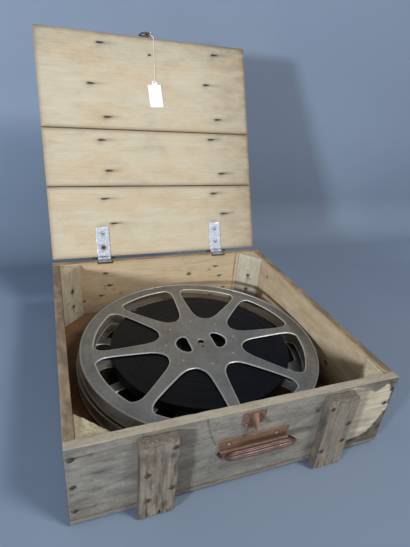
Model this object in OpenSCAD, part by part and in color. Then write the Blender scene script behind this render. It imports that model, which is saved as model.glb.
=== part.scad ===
// Flat wooden crate for large film reels, lid open.
// x runs along the front, y from front to back, z up; the feet stand on z = 0.

/* [Crate] */
// Length of the crate along its front, outside
box_w = 420; // [400:1:480]
// Depth of the crate from front to back, outside
box_d = 420; // [400:1:480]
// Height of the rim above the underside of the bottom boards
box_h = 119; // [112:1:150]
// Thickness of the four wall boards
wall_t = 12; // [10:0.5:14]
// Thickness of the bottom boards
floor_t = 7; // [6:0.5:9]
// Length of each leg of the triangular corner blocks
block_leg = 38; // [28:1:44]

/* [Battens] */
// Width of every batten
batten_w = 43; // [36:1:50]
// Thickness of the wall battens
batten_t = 14; // [12:0.5:18]
// Thickness of the lid battens
lid_batten_t = 15; // [12:0.5:18]
// How far the wall battens reach below the bottom boards
foot_h = 6; // [6:0.5:10]
// Distance of each batten's middle from the middle of the crate
batten_x = 116; // [100:1:130]

/* [Lid] */
// Thickness of the lid boards
lid_t = 12; // [10:0.5:14]
// Lean of the open lid behind the vertical, in degrees
lean = 24; // [24:1:26]
// Length of the lid boards
lid_w = 411; // [380:1:418]
// Gap between two lid boards
lid_gap = 1.6; // [1:0.2:2.4]

/* [Reels] */
// Outer radius of a reel flange
reel_r = 189; // [170:1:190]
// Radius of the film pack on a reel
film_r = 143; // [100:1:150]
// Distance between the outer faces of a reel's two flanges
reel_gap = 22; // [20:0.5:23]

/* [Hidden] */

W2 = box_w/2;
H = box_h;
D = box_d;
// the crate's front face stands this far in front of the origin
y_shift = -304.36;

nail_r = 1.2;
hole_r = 1.25;

// hinge: pin axis behind and level with the back rim
pin_r = 1.55;
knuckle_r = 3.1;
py = D + 3.3;
pz = H + 0.05;
leaf_t = 1.5;
leaf_w = 24;
leaf_len = 60;
hinge_x = [-116, 113.5];
// lid in its own frame: u from the pin to the front edge, n out of the inner face
lid_n0 = -(leaf_t + 0.05);
lid_u0 = 3.3;
lid_u3 = 420;
lid_u1 = 135.6;
lid_u2 = 242.4;
lid_x0 = 1.5 - W2;

front_batten_top = H - 4.5;
back_batten_top = H - 1.5;
wall_z0 = floor_t;

// nails through the lid battens, clinched on the inner face: [x, u]
lid_nails_left = [[-99, 401], [-121, 326], [-95, 266], [-109, 223], [-99, 166], [-112, 113], [-97, 66]];
lid_nails_right = [[129, 400], [108, 339], [130, 271], [112, 230], [132, 161], [112, 120], [132, 78]];
// nails through the wall battens: [x, z]
front_nails = [[-129, 70], [-99.5, 104], [-128, 28], [-101, 40], [98, 104], [130, 72], [100, 30], [129, 42]];
back_nails = [[-119, 96], [-111, 69], [-128, 48], [-98, 26], [106, 92], [118, 69], [129, 40], [100, 24]];
// nails at the corners of the front and back walls: [x, z]
corner_front = [[-W2 + 6, 103], [-W2 + 6, 62], [-W2 + 6, 23], [W2 - 6, 100], [W2 - 10, 75.5], [W2 - 6, 30]];
corner_back = [[-W2 + 6, 98], [-W2 + 6, 60], [-W2 + 6, 22], [W2 - 6, 101], [W2 - 6, 64], [W2 - 6, 25]];
// nails up through the bottom boards into the walls: [x, y]
bottom_front = [for (x = [-180, -60, 60, 180]) [x, 6]];
bottom_back = [for (x = [-180, -60, 60, 180]) [x, D - 6]];
bottom_left = [for (y = [60, 160, 260, 360]) [-W2 + 6, y]];
bottom_right = [for (y = [60, 160, 260, 360]) [W2 - 6, y]];
runner_nails = [for (s = [-1, 1]) for (y = [36, 104, 172, 248, 316, 384]) [s*batten_x + (y % 3 == 0 ? 11 : -11), y]];

// handle on the front wall
handle_x = 2.5;
handle_z0 = 62.5;
handle_h = 16.5;
handle_half = 45.5;
handle_t = 1.6;
bail_y = -4.8;
bail_z = 63.5;
bail_leg = 15.8;
bail_tilt = 123;
bail_r = 1.8;
grip_r = 5.5;
grip_half = 44.5;
leg_x = 47.8;

// catch on the front wall and hasp on the lid
catch_x = -2.3;
catch_t = 1.2;
loop_r = 1.3;
loop_half = 9.8;
loop_len = 29.8;
loop_lean = 72;
eye_u = 428.5;
eye_n = -4;
eye_bore = 1.4;
eye_r = 2.9;
strap_t = 1.5;

// reels: centre, height of the lower face, turn of the spokes
upper_c = [7, 202.5];
lower_c = [2, 209];
boss_h = 7;
flange_t = 1;
bead_r = 1.6;
lower_z = floor_t + boss_h;
upper_z = lower_z + reel_gap + boss_h;
hub_r = 60;
plate_r = 67;
window_r = 168;
upper_turn = -1;
lower_turn = 19;

// string of the tag, in the lid's frame [x, u, n]
string_r = 0.7;
string_x = 4.6;
string_loop = 2.35;
string_way = [[4.9, 425.4, -1.7], [7, 423, -1.2], [8.6, 421, -0.85], [8.9, 417, -0.82],
    [8.4, 400, -0.75], [7.8, 380, -0.65], [7, 362, -0.65], [6.3, 350, -0.6], [5.8, 344, -0.3],
    [5.6, 340, -0.15], [5.5, 337.5, -0.4], [5.5, 336.4, -1.2]];

// ---------------------------------------------------------------- placing

module crate() translate([0, y_shift, foot_h]) children();

module on_lid() crate() translate([0, py, pz]) rotate([90 - lean, 0, 0]) children();

// turns children drawn with +z out of the front wall
module on_front(x, z, y = 0) translate([x, y, z]) rotate([90, 0, 0]) children();
module on_back(x, z, y = D) translate([x, y, z]) rotate([-90, 0, 0]) children();

// ---------------------------------------------------------------- fasteners

// nail: head on the plane z = 0, shank going down
module nail(len = 34, head = 2.9, thick = 0.9) {
    cylinder(r = head, h = thick, $fn = 20);
    translate([0, 0, -len]) cylinder(r = nail_r, h = len + thick/2, $fn = 16);
}

// nail driven right through `deep` of wood and bent over along +x
module clinched(deep, tip = 12, head = 2.9) {
    cylinder(r = head, h = 0.9, $fn = 20);
    translate([0, 0, -deep - 1.2]) cylinder(r = nail_r, h = deep + 1.5, $fn = 16);
    translate([0, 0, -deep - 1.2]) sphere(r = nail_r, $fn = 16);
    translate([0, 0, -deep - 1.2]) rotate([0, 90, 0]) cylinder(r1 = nail_r, r2 = 0.7, h = tip, $fn = 16);
}

module hole(deep) translate([0, 0, -deep]) cylinder(r = hole_r, h = deep + 1, $fn = 16);

// domed screw: head on the plane z = 0
module screw(len = 18, head = 3.5) {
    difference() {
        cylinder(r1 = head, r2 = head - 1, h = 1, $fn = 24);
        translate([-head, -0.4, 0.45]) cube([2*head, 0.8, 1]);
    }
    translate([0, 0, -len]) cylinder(r = 1.7, h = len + 0.2, $fn = 16);
}

// countersunk screw, head flush with z = 0
module flush_screw(len = 16) {
    difference() {
        union() {
            translate([0, 0, -1.4]) cylinder(r1 = 1.6, r2 = 3, h = 1.35, $fn = 24);
            translate([0, 0, -len]) cylinder(r = 1.55, h = len - 0.1, $fn = 16);
        }
        translate([-3.5, -0.4, -0.6]) cube([7, 0.8, 1]);
    }
}

// ---------------------------------------------------------------- walls

module front_wall() color("#b9ad97") crate() difference() {
    translate([-W2, 0, wall_z0]) cube([box_w, wall_t, H - wall_z0]);
    for (p = front_nails) on_front(p[0], p[1]) hole(wall_t + 1);
    for (p = corner_front) on_front(p[0], p[1]) hole(wall_t + 1);
    for (p = bottom_front) translate([p[0], p[1], wall_z0 - 1]) cylinder(r = hole_r, h = 30, $fn = 16);
    for (s = [-1, 1]) on_front(handle_x - 1 + s*31.5, handle_z0 + 9.5) hole(11);
    for (p = catch_holes()) on_front(p[0], p[1]) hole(11);
}

module back_wall() color("#b4a68c") crate() difference() {
    translate([-W2, D - wall_t, wall_z0]) cube([box_w, wall_t, H - wall_z0]);
    for (p = back_nails) on_back(p[0], p[1]) hole(wall_t + 1);
    for (p = corner_back) on_back(p[0], p[1]) hole(wall_t + 1);
    for (p = bottom_back) translate([p[0], p[1], wall_z0 - 1]) cylinder(r = hole_r, h = 30, $fn = 16);
    // recess for each hinge leaf, and its two screw holes
    for (x = hinge_x) {
        translate([x - leaf_w/2 - 1.5, D - 11.6, H - leaf_t]) cube([leaf_w + 3, 12, leaf_t + 1]);
        for (s = [-1, 1]) translate([x + s*6.5, D - 6, H - 18]) cylinder(r = 1.6, h = 20, $fn = 16);
    }
}

module side_wall(s) difference() {
    translate([s > 0 ? W2 - wall_t : -W2, wall_t, wall_z0]) cube([wall_t, D - 2*wall_t, H - wall_z0]);
    for (p = corner_front) if (p[0]*s > 0) on_front(p[0], p[1]) hole(36);
    for (p = corner_back) if (p[0]*s > 0) on_back(p[0], p[1]) hole(36);
    for (p = s > 0 ? bottom_right : bottom_left)
        translate([p[0], p[1], wall_z0 - 1]) cylinder(r = hole_r, h = 30, $fn = 16);
}
module left_wall() color("#bfae90") crate() side_wall(-1);
module right_wall() color("#bfae90") crate() side_wall(1);

// ---------------------------------------------------------------- bottom

module bottom_board(y0, y1) difference() {
    translate([-W2, y0, 0]) cube([box_w, y1 - y0, floor_t]);
    for (p = concat(bottom_front, bottom_back, bottom_left, bottom_right, runner_nails))
        if (p[1] > y0 && p[1] < y1) translate([p[0], p[1], -1]) cylinder(r = hole_r, h = floor_t + 2, $fn = 16);
}
module bottom_board_front() color("#c9b48c") crate() bottom_board(0, 138.6);
module bottom_board_middle() color("#b98a58") crate() bottom_board(139.6, 281);
module bottom_board_back() color("#b98a58") crate() bottom_board(282, D);

module bottom_runner(s) difference() {
    translate([s*batten_x - batten_w/2, 2, -5]) cube([batten_w, D - 4, 5]);
    for (p = runner_nails) if (p[0]*s > 0)
        translate([p[0], p[1], -6]) cylinder(r = hole_r, h = 8, $fn = 16);
}
module bottom_runner_left() color("#9c8a72") crate() bottom_runner(-1);
module bottom_runner_right() color("#9c8a72") crate() bottom_runner(1);

// ---------------------------------------------------------------- battens

// side profile with a worn bevel along the top and a notch in the foot
module batten_profile(top, t) {
    polygon([[0, -foot_h], [t - 2, -foot_h], [t, -foot_h + 3], [t, top - 3], [t - 3, top], [0, top]]);
}
module wall_batten(x, top, list) difference() {
    translate([x - batten_w/2, 0, 0]) rotate([90, 0, 90]) mirror([1, 0, 0])
        linear_extrude(batten_w) batten_profile(top, batten_t);
    for (p = list) on_front(p[0], p[1], -batten_t) hole(batten_t + 1);
}
module front_batten_left() color("#8d8070") crate() wall_batten(-batten_x, front_batten_top, front_nails);
module front_batten_right() color("#8d8070") crate() wall_batten(batten_x + 1, front_batten_top, front_nails);

module back_batten(x, hx) difference() {
    translate([x - batten_w/2, D, 0]) rotate([90, 0, 90])
        linear_extrude(batten_w) polygon([[0, -foot_h], [batten_t - 2, -foot_h], [batten_t, -foot_h + 3],
                                          [batten_t, back_batten_top], [0, back_batten_top]]);
    for (p = back_nails) on_back(p[0], p[1], D + batten_t) hole(batten_t + 1);
    // clearance for the hinge knuckles
    translate([hx - leaf_w/2 - 1.5, py, pz]) rotate([0, 90, 0]) cylinder(r = 3.6, h = leaf_w + 3, $fn = 32);
    translate([hx - leaf_w/2 - 1.5, D - 1, pz - 3.6]) cube([leaf_w + 3, 4.3, 8]);
}
module back_batten_left() color("#8d8070") crate() back_batten(-batten_x, hinge_x[0]);
module back_batten_right() color("#8d8070") crate() back_batten(batten_x + 1, hinge_x[1]);

// ---------------------------------------------------------------- corner blocks

module block(sx, sy) {
    // triangular prism with its square corner in the corner of the walls
    translate([sx*(W2 - wall_t), sy > 0 ? D - wall_t : wall_t, floor_t])
        difference() {
            linear_extrude(H - floor_t - 2)
                polygon([[0, 0], [-sx*block_leg, 0], [0, -sy*block_leg]]);
            for (z = [33, 66])
                translate([-sx*block_leg/3, -sy*block_leg/3, z])
                    rotate([0, 0, atan2(-sy, -sx)]) rotate([0, 90, 0])
                        translate([0, 0, -14]) cylinder(r = hole_r, h = 40, $fn = 16);
        }
}
module corner_block_front_left() color("#cbb994") crate() block(-1, -1);
module corner_block_front_right() color("#cbb994") crate() block(1, -1);
module corner_block_back_left() color("#cbb994") crate() block(-1, 1);
module corner_block_back_right() color("#cbb994") crate() block(1, 1);

module block_nails() color("#4a4038") crate() for (sx = [-1, 1]) for (sy = [-1, 1])
    translate([sx*(W2 - wall_t), sy > 0 ? D - wall_t : wall_t, floor_t])
        for (z = [33, 66])
            translate([-sx*block_leg/2, -sy*block_leg/2, z])
                rotate([0, 0, atan2(-sy, -sx)]) rotate([0, 90, 0]) nail(20, 2.6, 0.8);

// ---------------------------------------------------------------- nails

module wall_nails() color("#4a4038") crate() {
    for (p = corner_front) on_front(p[0], p[1]) nail(34);
    for (p = corner_back) on_back(p[0], p[1]) nail(34);
}
module batten_nails() color("#4a4038") crate() {
    for (p = front_nails) on_front(p[0], p[1], -batten_t) clinched(batten_t + wall_t, 9);
    for (p = back_nails) on_back(p[0], p[1], D + batten_t) clinched(batten_t + wall_t, 9);
}
module bottom_nails() color("#4a4038") crate() {
    for (p = concat(bottom_front, bottom_back, bottom_left, bottom_right))
        translate([p[0], p[1], 0]) rotate([180, 0, 0]) nail(30);
    for (p = runner_nails)
        translate([p[0], p[1], -5]) rotate([180, 0, 0]) nail(5 + floor_t - 1, 2.9, 0.8);
}

// ---------------------------------------------------------------- handle

module handle_plate() color("#7b4a33") crate() difference() {
    union() {
        translate([handle_x - handle_half, -handle_t, handle_z0]) cube([2*handle_half, handle_t, handle_h]);
        // rolled lower edge; its open ends hold the bail
        translate([handle_x - handle_half, bail_y, bail_z]) rotate([0, 90, 0])
            cylinder(r = 3.4, h = 2*handle_half, $fn = 32);
    }
    for (s = [-1, 1]) translate([handle_x + s*(handle_half - 3.5) - 5.5, bail_y, bail_z]) rotate([0, 90, 0])
        cylinder(r = bail_r + 0.1, h = 11, $fn = 32);
    for (s = [-1, 1]) on_front(handle_x - 1 + s*31.5, handle_z0 + 9.5) translate([0, 0, -1])
        cylinder(r = hole_r, h = 4, $fn = 16);
}
module handle_nails() color("#8d6a52") crate()
    for (s = [-1, 1]) on_front(handle_x - 1 + s*31.5, handle_z0 + 9.5, -handle_t) nail(12, 2.4, 0.8);

// the bail in its own frame: pin axis through the origin along x, legs down
module bail_shape() for (s = [-1, 1]) scale([s, 1, 1]) {
    translate([37, 0, 0]) rotate([0, 90, 0]) cylinder(r = bail_r, h = leg_x - 37 - 2.5, $fn = 24);
    translate([leg_x - 2.5, 0, -2.5]) rotate([90, 0, 0])
        rotate_extrude(angle = 90, $fn = 32) translate([2.5, 0]) circle(r = bail_r, $fn = 24);
    translate([leg_x, 0, -bail_leg + 2.5]) cylinder(r = bail_r, h = bail_leg - 5, $fn = 24);
    translate([leg_x - 2.5, 0, -bail_leg + 2.5]) rotate([90, 0, 0])
        rotate_extrude(angle = -90, $fn = 32) translate([2.5, 0]) circle(r = bail_r, $fn = 24);
    translate([0, 0, -bail_leg]) rotate([0, 90, 0]) cylinder(r = bail_r, h = leg_x - 2.5, $fn = 24);
}
module bail_frame() crate() translate([handle_x, bail_y, bail_z]) rotate([-bail_tilt, 0, 0]) children();
module handle_bail() color("#5a4a40") bail_frame() bail_shape();

module handle_grip() color("#6d4f48") bail_frame() difference() {
    translate([0, 0, -bail_leg]) rotate([0, 90, 0]) rotate_extrude($fn = 48)
        polygon([[0, -grip_half], [2.2, -grip_half], [3.4, -grip_half + 1.5], [4.7, -grip_half + 5], [grip_r, -grip_half + 12],
                 [grip_r, grip_half - 12], [4.7, grip_half - 5], [3.4, grip_half - 1.5], [2.2, grip_half], [0, grip_half]]);
    bail_shape();
    // two long folds in the rolled sheet
    for (a = [73, 123]) translate([0, 0, -bail_leg]) rotate([a, 0, 0])
        translate([-32, -grip_r - 1, -0.4]) cube([64, 1.8, 0.8]);
}

// ---------------------------------------------------------------- catch

function catch_holes() = [[catch_x - 11, H - 7], [catch_x + 11, H - 7], [catch_x - 9, H - 22]];

module catch_plate() color("#8a5a3c") crate() difference() {
    on_front(catch_x, 0) linear_extrude(catch_t)
        polygon([[-14.5, H - 3.5], [14.5, H - 3.5], [14.5, H - 14], [11, H - 23], [4, H - 28],
                 [-4, H - 28], [-11, H - 25.5], [-14.5, H - 18]]);
    for (p = catch_holes()) on_front(p[0], p[1]) translate([0, 0, -1]) cylinder(r = hole_r, h = 4, $fn = 16);
}
// pressed beak that the loop drops over; it narrows downwards and ends in an overhanging tip
module catch_beak() color("#a06a48") crate() intersection() {
    translate([catch_x - 9, 0, 0]) rotate([90, 0, 90]) linear_extrude(18)
        polygon([[-catch_t, H - 6], [-catch_t, H - 21], [-7, H - 21], [-11, H - 23.5], [-13, H - 22.5], [-12.5, H - 19.5]]);
    on_front(catch_x + 0.6, 0) linear_extrude(20)
        polygon([[-7, H - 6], [6.6, H - 6], [2.6, H - 24], [-1.5, H - 24]]);
}
module catch_nails() color("#6a4632") crate()
    for (p = catch_holes()) on_front(p[0], p[1], -catch_t) nail(10, 2.1, 0.7);

// ---------------------------------------------------------------- hinges

// wall leaf: set into the top of the back wall, one knuckle in the middle
module wall_leaf(x) difference() {
    union() {
        translate([x - leaf_w/2, D - 11.5, H - leaf_t]) cube([leaf_w, 11.5, leaf_t]);
        translate([x - 3.9, D - 0.5, H - leaf_t]) cube([7.8, 3.8, leaf_t]);
        translate([x - 3.9, py, pz]) rotate([0, 90, 0]) cylinder(r = knuckle_r, h = 7.8, $fn = 32);
    }
    translate([x - 5, py, pz]) rotate([0, 90, 0]) cylinder(r = pin_r, h = 10, $fn = 24);
    for (s = [-1, 1]) translate([x + s*6.5, D - 6, H])
        translate([0, 0, -1.6]) cylinder(r1 = 1.65, r2 = 3.25, h = 1.61, $fn = 24);
}
module hinge_wall_leaf_left() color("#9aa3ad") crate() wall_leaf(hinge_x[0]);
module hinge_wall_leaf_right() color("#9aa3ad") crate() wall_leaf(hinge_x[1]);
module hinge_wall_screws() color("#6f6a66") crate()
    for (x = hinge_x) for (s = [-1, 1]) translate([x + s*6.5, D - 6, H]) flush_screw(16);

module hinge_pin(x)
    translate([x - leaf_w/2 - 0.6, py, pz]) rotate([0, 90, 0]) cylinder(r = pin_r - 0.05, h = leaf_w + 1.2, $fn = 24);
module hinge_pin_left() color("#5d5f63") crate() hinge_pin(hinge_x[0]);
module hinge_pin_right() color("#5d5f63") crate() hinge_pin(hinge_x[1]);

// lid leaf: two outer knuckles and a long leaf on the inner face
module lid_leaf(x) difference() {
    union() {
        translate([x - leaf_w/2, lid_u0 + 0.2, lid_n0]) cube([leaf_w, leaf_len - lid_u0, leaf_t]);
        for (s = [-1, 1]) translate([x + s*8.05 - 3.95, 0, 0]) {
            translate([0, 0, lid_n0]) cube([7.9, lid_u0 + 1, leaf_t]);
            rotate([0, 90, 0]) cylinder(r = knuckle_r, h = 7.9, $fn = 32);
        }
    }
    translate([x - 13, 0, 0]) rotate([0, 90, 0]) cylinder(r = pin_r, h = 26, $fn = 24);
    for (u = [21, 47.5]) translate([x, u, lid_n0 - 1]) cylinder(r = 1.8, h = 4, $fn = 16);
}
module hinge_lid_leaf_left() color("#b6bfcb") on_lid() lid_leaf(hinge_x[0]);
module hinge_lid_leaf_right() color("#b6bfcb") on_lid() lid_leaf(hinge_x[1]);
module hinge_lid_screws() color("#6f5a52") on_lid()
    for (x = hinge_x) for (u = [21, 47.5]) translate([x, u, -0.05]) screw(18);

// ---------------------------------------------------------------- lid

module lid_holes(u0, u1) {
    for (p = concat(lid_nails_left, lid_nails_right)) if (p[1] > u0 && p[1] < u1)
        translate([p[0], p[1], lid_n0 - lid_t - lid_batten_t - 1]) cylinder(r = hole_r, h = 40, $fn = 16);
    for (x = hinge_x) for (u = [21, 47.5]) if (u > u0 && u < u1)
        translate([x, u, -18.3]) cylinder(r = 1.75, h = 20, $fn = 16);
    for (p = hasp_holes()) if (p[1] > u0 && p[1] < u1)
        translate([p[0], p[1], lid_n0 - lid_t - 1]) cylinder(r = hole_r, h = lid_t + 2, $fn = 16);
}
module lid_board(u0, u1) on_lid() difference() {
    translate([lid_x0, u0, lid_n0 - lid_t]) cube([lid_w, u1 - u0, lid_t]);
    lid_holes(u0, u1);
}
module lid_board_back() color("#d8bd8c") lid_board(lid_u0, lid_u1);
module lid_board_middle() color("#dcc294") lid_board(lid_u1 + lid_gap, lid_u2);
module lid_board_front() color("#dac092") lid_board(lid_u2 + lid_gap, lid_u3);

module lid_batten(x) on_lid() difference() {
    translate([x - batten_w/2, 0, lid_n0 - lid_t]) rotate([90, 0, 90]) mirror([0, 1, 0]) linear_extrude(batten_w)
        polygon([[12, 0], [12, lid_batten_t - 4], [16, lid_batten_t], [404, lid_batten_t], [408, lid_batten_t - 4], [408, 0]]);
    lid_holes(0, 420);
}
module lid_batten_left() color("#8d8070") lid_batten(-batten_x + 3);
module lid_batten_right() color("#8d8070") lid_batten(batten_x + 1);

module lid_nails() color("#4a4038") on_lid()
    for (p = concat(lid_nails_left, lid_nails_right))
        translate([p[0], p[1], lid_n0 - lid_t - lid_batten_t]) mirror([0, 0, 1]) clinched(lid_t + lid_batten_t, 12);

// ---------------------------------------------------------------- hasp

function hasp_holes() = [[catch_x, 387], [catch_x - 7, 404], [catch_x + 7, 404]];

module hasp_strap() color("#4d423c") on_lid() difference() {
    n1 = lid_n0 - lid_t;
    union() {
        translate([catch_x - 12, 380, n1 - strap_t]) cube([24, lid_u3 + strap_t - 380, strap_t]);
        translate([catch_x - 12, lid_u3, n1 - strap_t]) cube([24, strap_t, 10.5]);
        translate([catch_x - 3.5, lid_u3, eye_n - 1.5]) cube([7, eye_u - lid_u3, 1.5]);
        translate([catch_x - 3.5, lid_u3, eye_n - 1.5]) cube([7, strap_t, 1.5]);
        translate([catch_x - 3.5, lid_u3, n1 + 8]) cube([7, strap_t, eye_n - n1 - 8]);
        translate([catch_x - 3.5, eye_u, eye_n]) rotate([0, 90, 0]) cylinder(r = eye_r, h = 7, $fn = 32);
    }
    translate([catch_x - 8, eye_u, eye_n]) rotate([0, 90, 0]) cylinder(r = eye_bore, h = 16, $fn = 24);
    for (p = hasp_holes()) translate([p[0], p[1], n1 - 4]) cylinder(r = hole_r, h = 5, $fn = 16);
}
module hasp_nails() color("#4a4038") on_lid() {
    n1 = lid_n0 - lid_t - strap_t;
    translate([catch_x, 387, n1]) mirror([0, 0, 1]) clinched(lid_t + strap_t, 5, 2.6);
    for (s = [-1, 1]) translate([catch_x + s*7, 404, n1]) mirror([0, 0, 1]) nail(lid_t + strap_t - 1, 2.6);
}

// closed wire loop hanging in the eye; drawn along +y from the eye's axis
module loop_shape() {
    c = 2;
    for (s = [-1, 1]) {
        translate([s*loop_half, c, 0]) rotate([-90, 0, 0]) cylinder(r = loop_r, h = loop_len - 2*c, $fn = 24);
        translate([s*(loop_half - c), c, 0]) rotate([0, 0, s > 0 ? -90 : 180])
            rotate_extrude(angle = 90, $fn = 32) translate([c, 0]) circle(r = loop_r, $fn = 24);
        translate([s*(loop_half - c), loop_len - c, 0]) rotate([0, 0, s > 0 ? 0 : 90])
            rotate_extrude(angle = 90, $fn = 32) translate([c, 0]) circle(r = loop_r, $fn = 24);
    }
    for (y = [0, loop_len]) translate([-loop_half + c, y, 0]) rotate([0, 90, 0])
        cylinder(r = loop_r, h = 2*(loop_half - c), $fn = 24);
}
module hasp_loop() color("#3c3634") on_lid()
    translate([catch_x, eye_u, eye_n]) rotate([-loop_lean, 0, 0]) loop_shape();

// ---------------------------------------------------------------- tag

module tag_card() color("#f4f4f0") on_lid() translate([6, 310, lid_n0 + 0.15]) rotate([0, 0, 4]) difference() {
    union() {
        linear_extrude(0.4)
            polygon([[-13, 21.5], [13, 21.5], [13.5, 21], [13.5, -20], [11.5, -21.8], [-11.5, -21.8], [-13.5, -20], [-13.5, 21]]);
        translate([1.3, 24, 0]) cylinder(r = 5.6, h = 0.4, $fn = 32);
    }
    translate([1.3, 26.3, -1]) cylinder(r = 1.6, h = 3, $fn = 24);
}

// points of the string: a turn round the loop's bar, then down the lid
function turn_points() = [for (a = [-200 : 25 : 75]) [string_x - 1.2 + 1.2*(a + 200)/275,
    eye_u + string_loop*cos(a), eye_n + string_loop*sin(a)]];
function fill(p, q) = let (n = max(1, round(norm(q - p)/3.4))) [for (i = [0 : n - 1]) p + (q - p)*i/n];
function along(w) = [for (i = [0 : len(w) - 2]) each fill(w[i], w[i + 1]), w[len(w) - 1]];
function string_points() = concat(turn_points(), along(string_way));

function unit(v) = v/norm(v);
function tangent(p, i) = unit(p[min(i + 1, len(p) - 1)] - p[max(i - 1, 0)]);
function ring(p, i, r, n) = let (t = tangent(p, i), a = unit(cross(t, [1, 0.13, 0.05])), b = cross(t, a))
    [for (k = [0 : n - 1]) p[i] + r*(cos(360*k/n)*a + sin(360*k/n)*b)];
module sweep(p, r, n = 8) {
    m = len(p);
    pts = [for (i = [0 : m - 1]) each ring(p, i, r, n)];
    sides = [for (i = [0 : m - 2]) for (k = [0 : n - 1])
        [i*n + k, i*n + (k + 1) % n, (i + 1)*n + (k + 1) % n, (i + 1)*n + k]];
    polyhedron(points = pts, faces = concat([[for (k = [n - 1 : -1 : 0]) k]], sides,
        [[for (k = [0 : n - 1]) (m - 1)*n + k]]));
}
module tag_string() color("#f2f1ec") on_lid() sweep(string_points(), string_r, 8);

// ---------------------------------------------------------------- reels

// one spoke, flared where it meets the hub plate and the rim
function spoke_side(s) = [for (q = [[plate_r - 5, 26], [plate_r - 1, 20.8], [plate_r + 3, 17.2], [plate_r + 8, 14.6],
    [plate_r + 18, 12.2], [100, 11], [120, 9.8], [140, 8.9], [152, 9.1], [159, 11], [165, 15.5], [170, 24]]) [q[0], s*q[1]]];
module spoke() polygon(concat(spoke_side(1), [for (i = [11 : -1 : 0]) spoke_side(-1)[i]]));

// flange plate: z from 0 to flange_t, rolled bead standing on the side `up`
module flange(up, turn) {
    difference() {
        union() {
            linear_extrude(flange_t) {
                difference() {
                    circle(r = reel_r - bead_r, $fn = 128);
                    circle(r = window_r, $fn = 128);
                }
                circle(r = plate_r, $fn = 96);
            }
            linear_extrude(flange_t) for (k = [0 : 7]) rotate(turn + 45*k) spoke();
            rotate_extrude($fn = 128) translate([reel_r - bead_r, flange_t/2]) circle(r = bead_r, $fn = 20);
        }
        // finger holes and the drive hole
        rotate(turn + 1) for (s = [-1, 1]) translate([0, -3, -1]) intersection() {
            translate([s*20.5, 0, 0]) cylinder(r = 21, h = 3, $fn = 48);
            translate([s > 0 ? 20.5 : -42.5, -19.5, 0]) cube([22, 39, 3]);
        }
        translate([0, 0, -1]) cylinder(r = 4.1, h = 3, $fn = 32);
        rotate(turn) translate([-1.4, -7, -1]) cube([2.8, 7, 3]);
    }
}
// hollow drum between the flanges
module hub(turn) rotate(turn + 1) union() {
    difference() {
        translate([0, 0, flange_t]) cylinder(r = hub_r, h = reel_gap - 2*flange_t, $fn = 96);
        translate([0, 0, flange_t + 1.5]) cylinder(r = hub_r - 2, h = reel_gap, $fn = 96);
        // openings under the finger holes
        for (s = [-1, 1]) translate([s*30, -3, 0]) cylinder(r = 12, h = 6, $fn = 48);
        cylinder(r = 4.2, h = 6, $fn = 32);
    }
    difference() {
        translate([0, 0, flange_t + 1.4]) cylinder(r = 14, h = reel_gap - 2*flange_t - 1.4, $fn = 48);
        translate([0, 0, -1]) cylinder(r = 4.2, h = reel_gap + 2, $fn = 32);
    }
}
module boss_flange(turn) union() {
    flange(-1, turn);
    difference() {
        translate([0, 0, -boss_h]) cylinder(r = 14, h = boss_h + 0.5, $fn = 48);
        translate([0, 0, -boss_h - 1]) cylinder(r = 4.2, h = boss_h + 3, $fn = 32);
    }
}
module film() difference() {
    translate([0, 0, 3]) cylinder(r = film_r, h = 16, $fn = 128);
    translate([0, 0, 2]) cylinder(r = hub_r, h = 18, $fn = 96);
}
module upper() crate() translate([upper_c[0], upper_c[1], upper_z]) children();
module lower() crate() translate([lower_c[0], lower_c[1], lower_z]) children();

module upper_reel_top_flange() color("#8f8d88") upper() translate([0, 0, reel_gap - flange_t]) flange(1, upper_turn);
module upper_reel_bottom_flange() color("#8f8d88") upper() boss_flange(upper_turn);
module upper_reel_hub() color("#5f5d5a") upper() hub(upper_turn);
module upper_reel_film() color("#26262a") upper() film();
module lower_reel_top_flange() color("#8f8d88") lower() translate([0, 0, reel_gap - flange_t]) flange(1, lower_turn);
module lower_reel_bottom_flange() color("#8f8d88") lower() boss_flange(lower_turn);
module lower_reel_hub() color("#5f5d5a") lower() hub(lower_turn);
module lower_reel_film() color("#26262a") lower() film();

// ---------------------------------------------------------------- nodes

front_wall();
back_wall();
left_wall();
right_wall();
bottom_board_front();
bottom_board_middle();
bottom_board_back();
bottom_runner_left();
bottom_runner_right();
front_batten_left();
front_batten_right();
back_batten_left();
back_batten_right();
corner_block_front_left();
corner_block_front_right();
corner_block_back_left();
corner_block_back_right();
wall_nails();
batten_nails();
bottom_nails();
block_nails();
handle_plate();
handle_nails();
handle_bail();
handle_grip();
catch_plate();
catch_beak();
catch_nails();
hinge_wall_leaf_left();
hinge_wall_leaf_right();
hinge_wall_screws();
hinge_pin_left();
hinge_pin_right();
lid_board_front();
lid_board_middle();
lid_board_back();
lid_batten_left();
lid_batten_right();
lid_nails();
hinge_lid_leaf_left();
hinge_lid_leaf_right();
hinge_lid_screws();
hasp_strap();
hasp_nails();
hasp_loop();
tag_card();
tag_string();
upper_reel_top_flange();
upper_reel_bottom_flange();
upper_reel_hub();
upper_reel_film();
lower_reel_top_flange();
lower_reel_bottom_flange();
lower_reel_hub();
lower_reel_film();
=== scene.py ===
import math
import bpy
import numpy as np
from mathutils import Matrix, Vector
from mathutils.geometry import delaunay_2d_cdt


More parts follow.
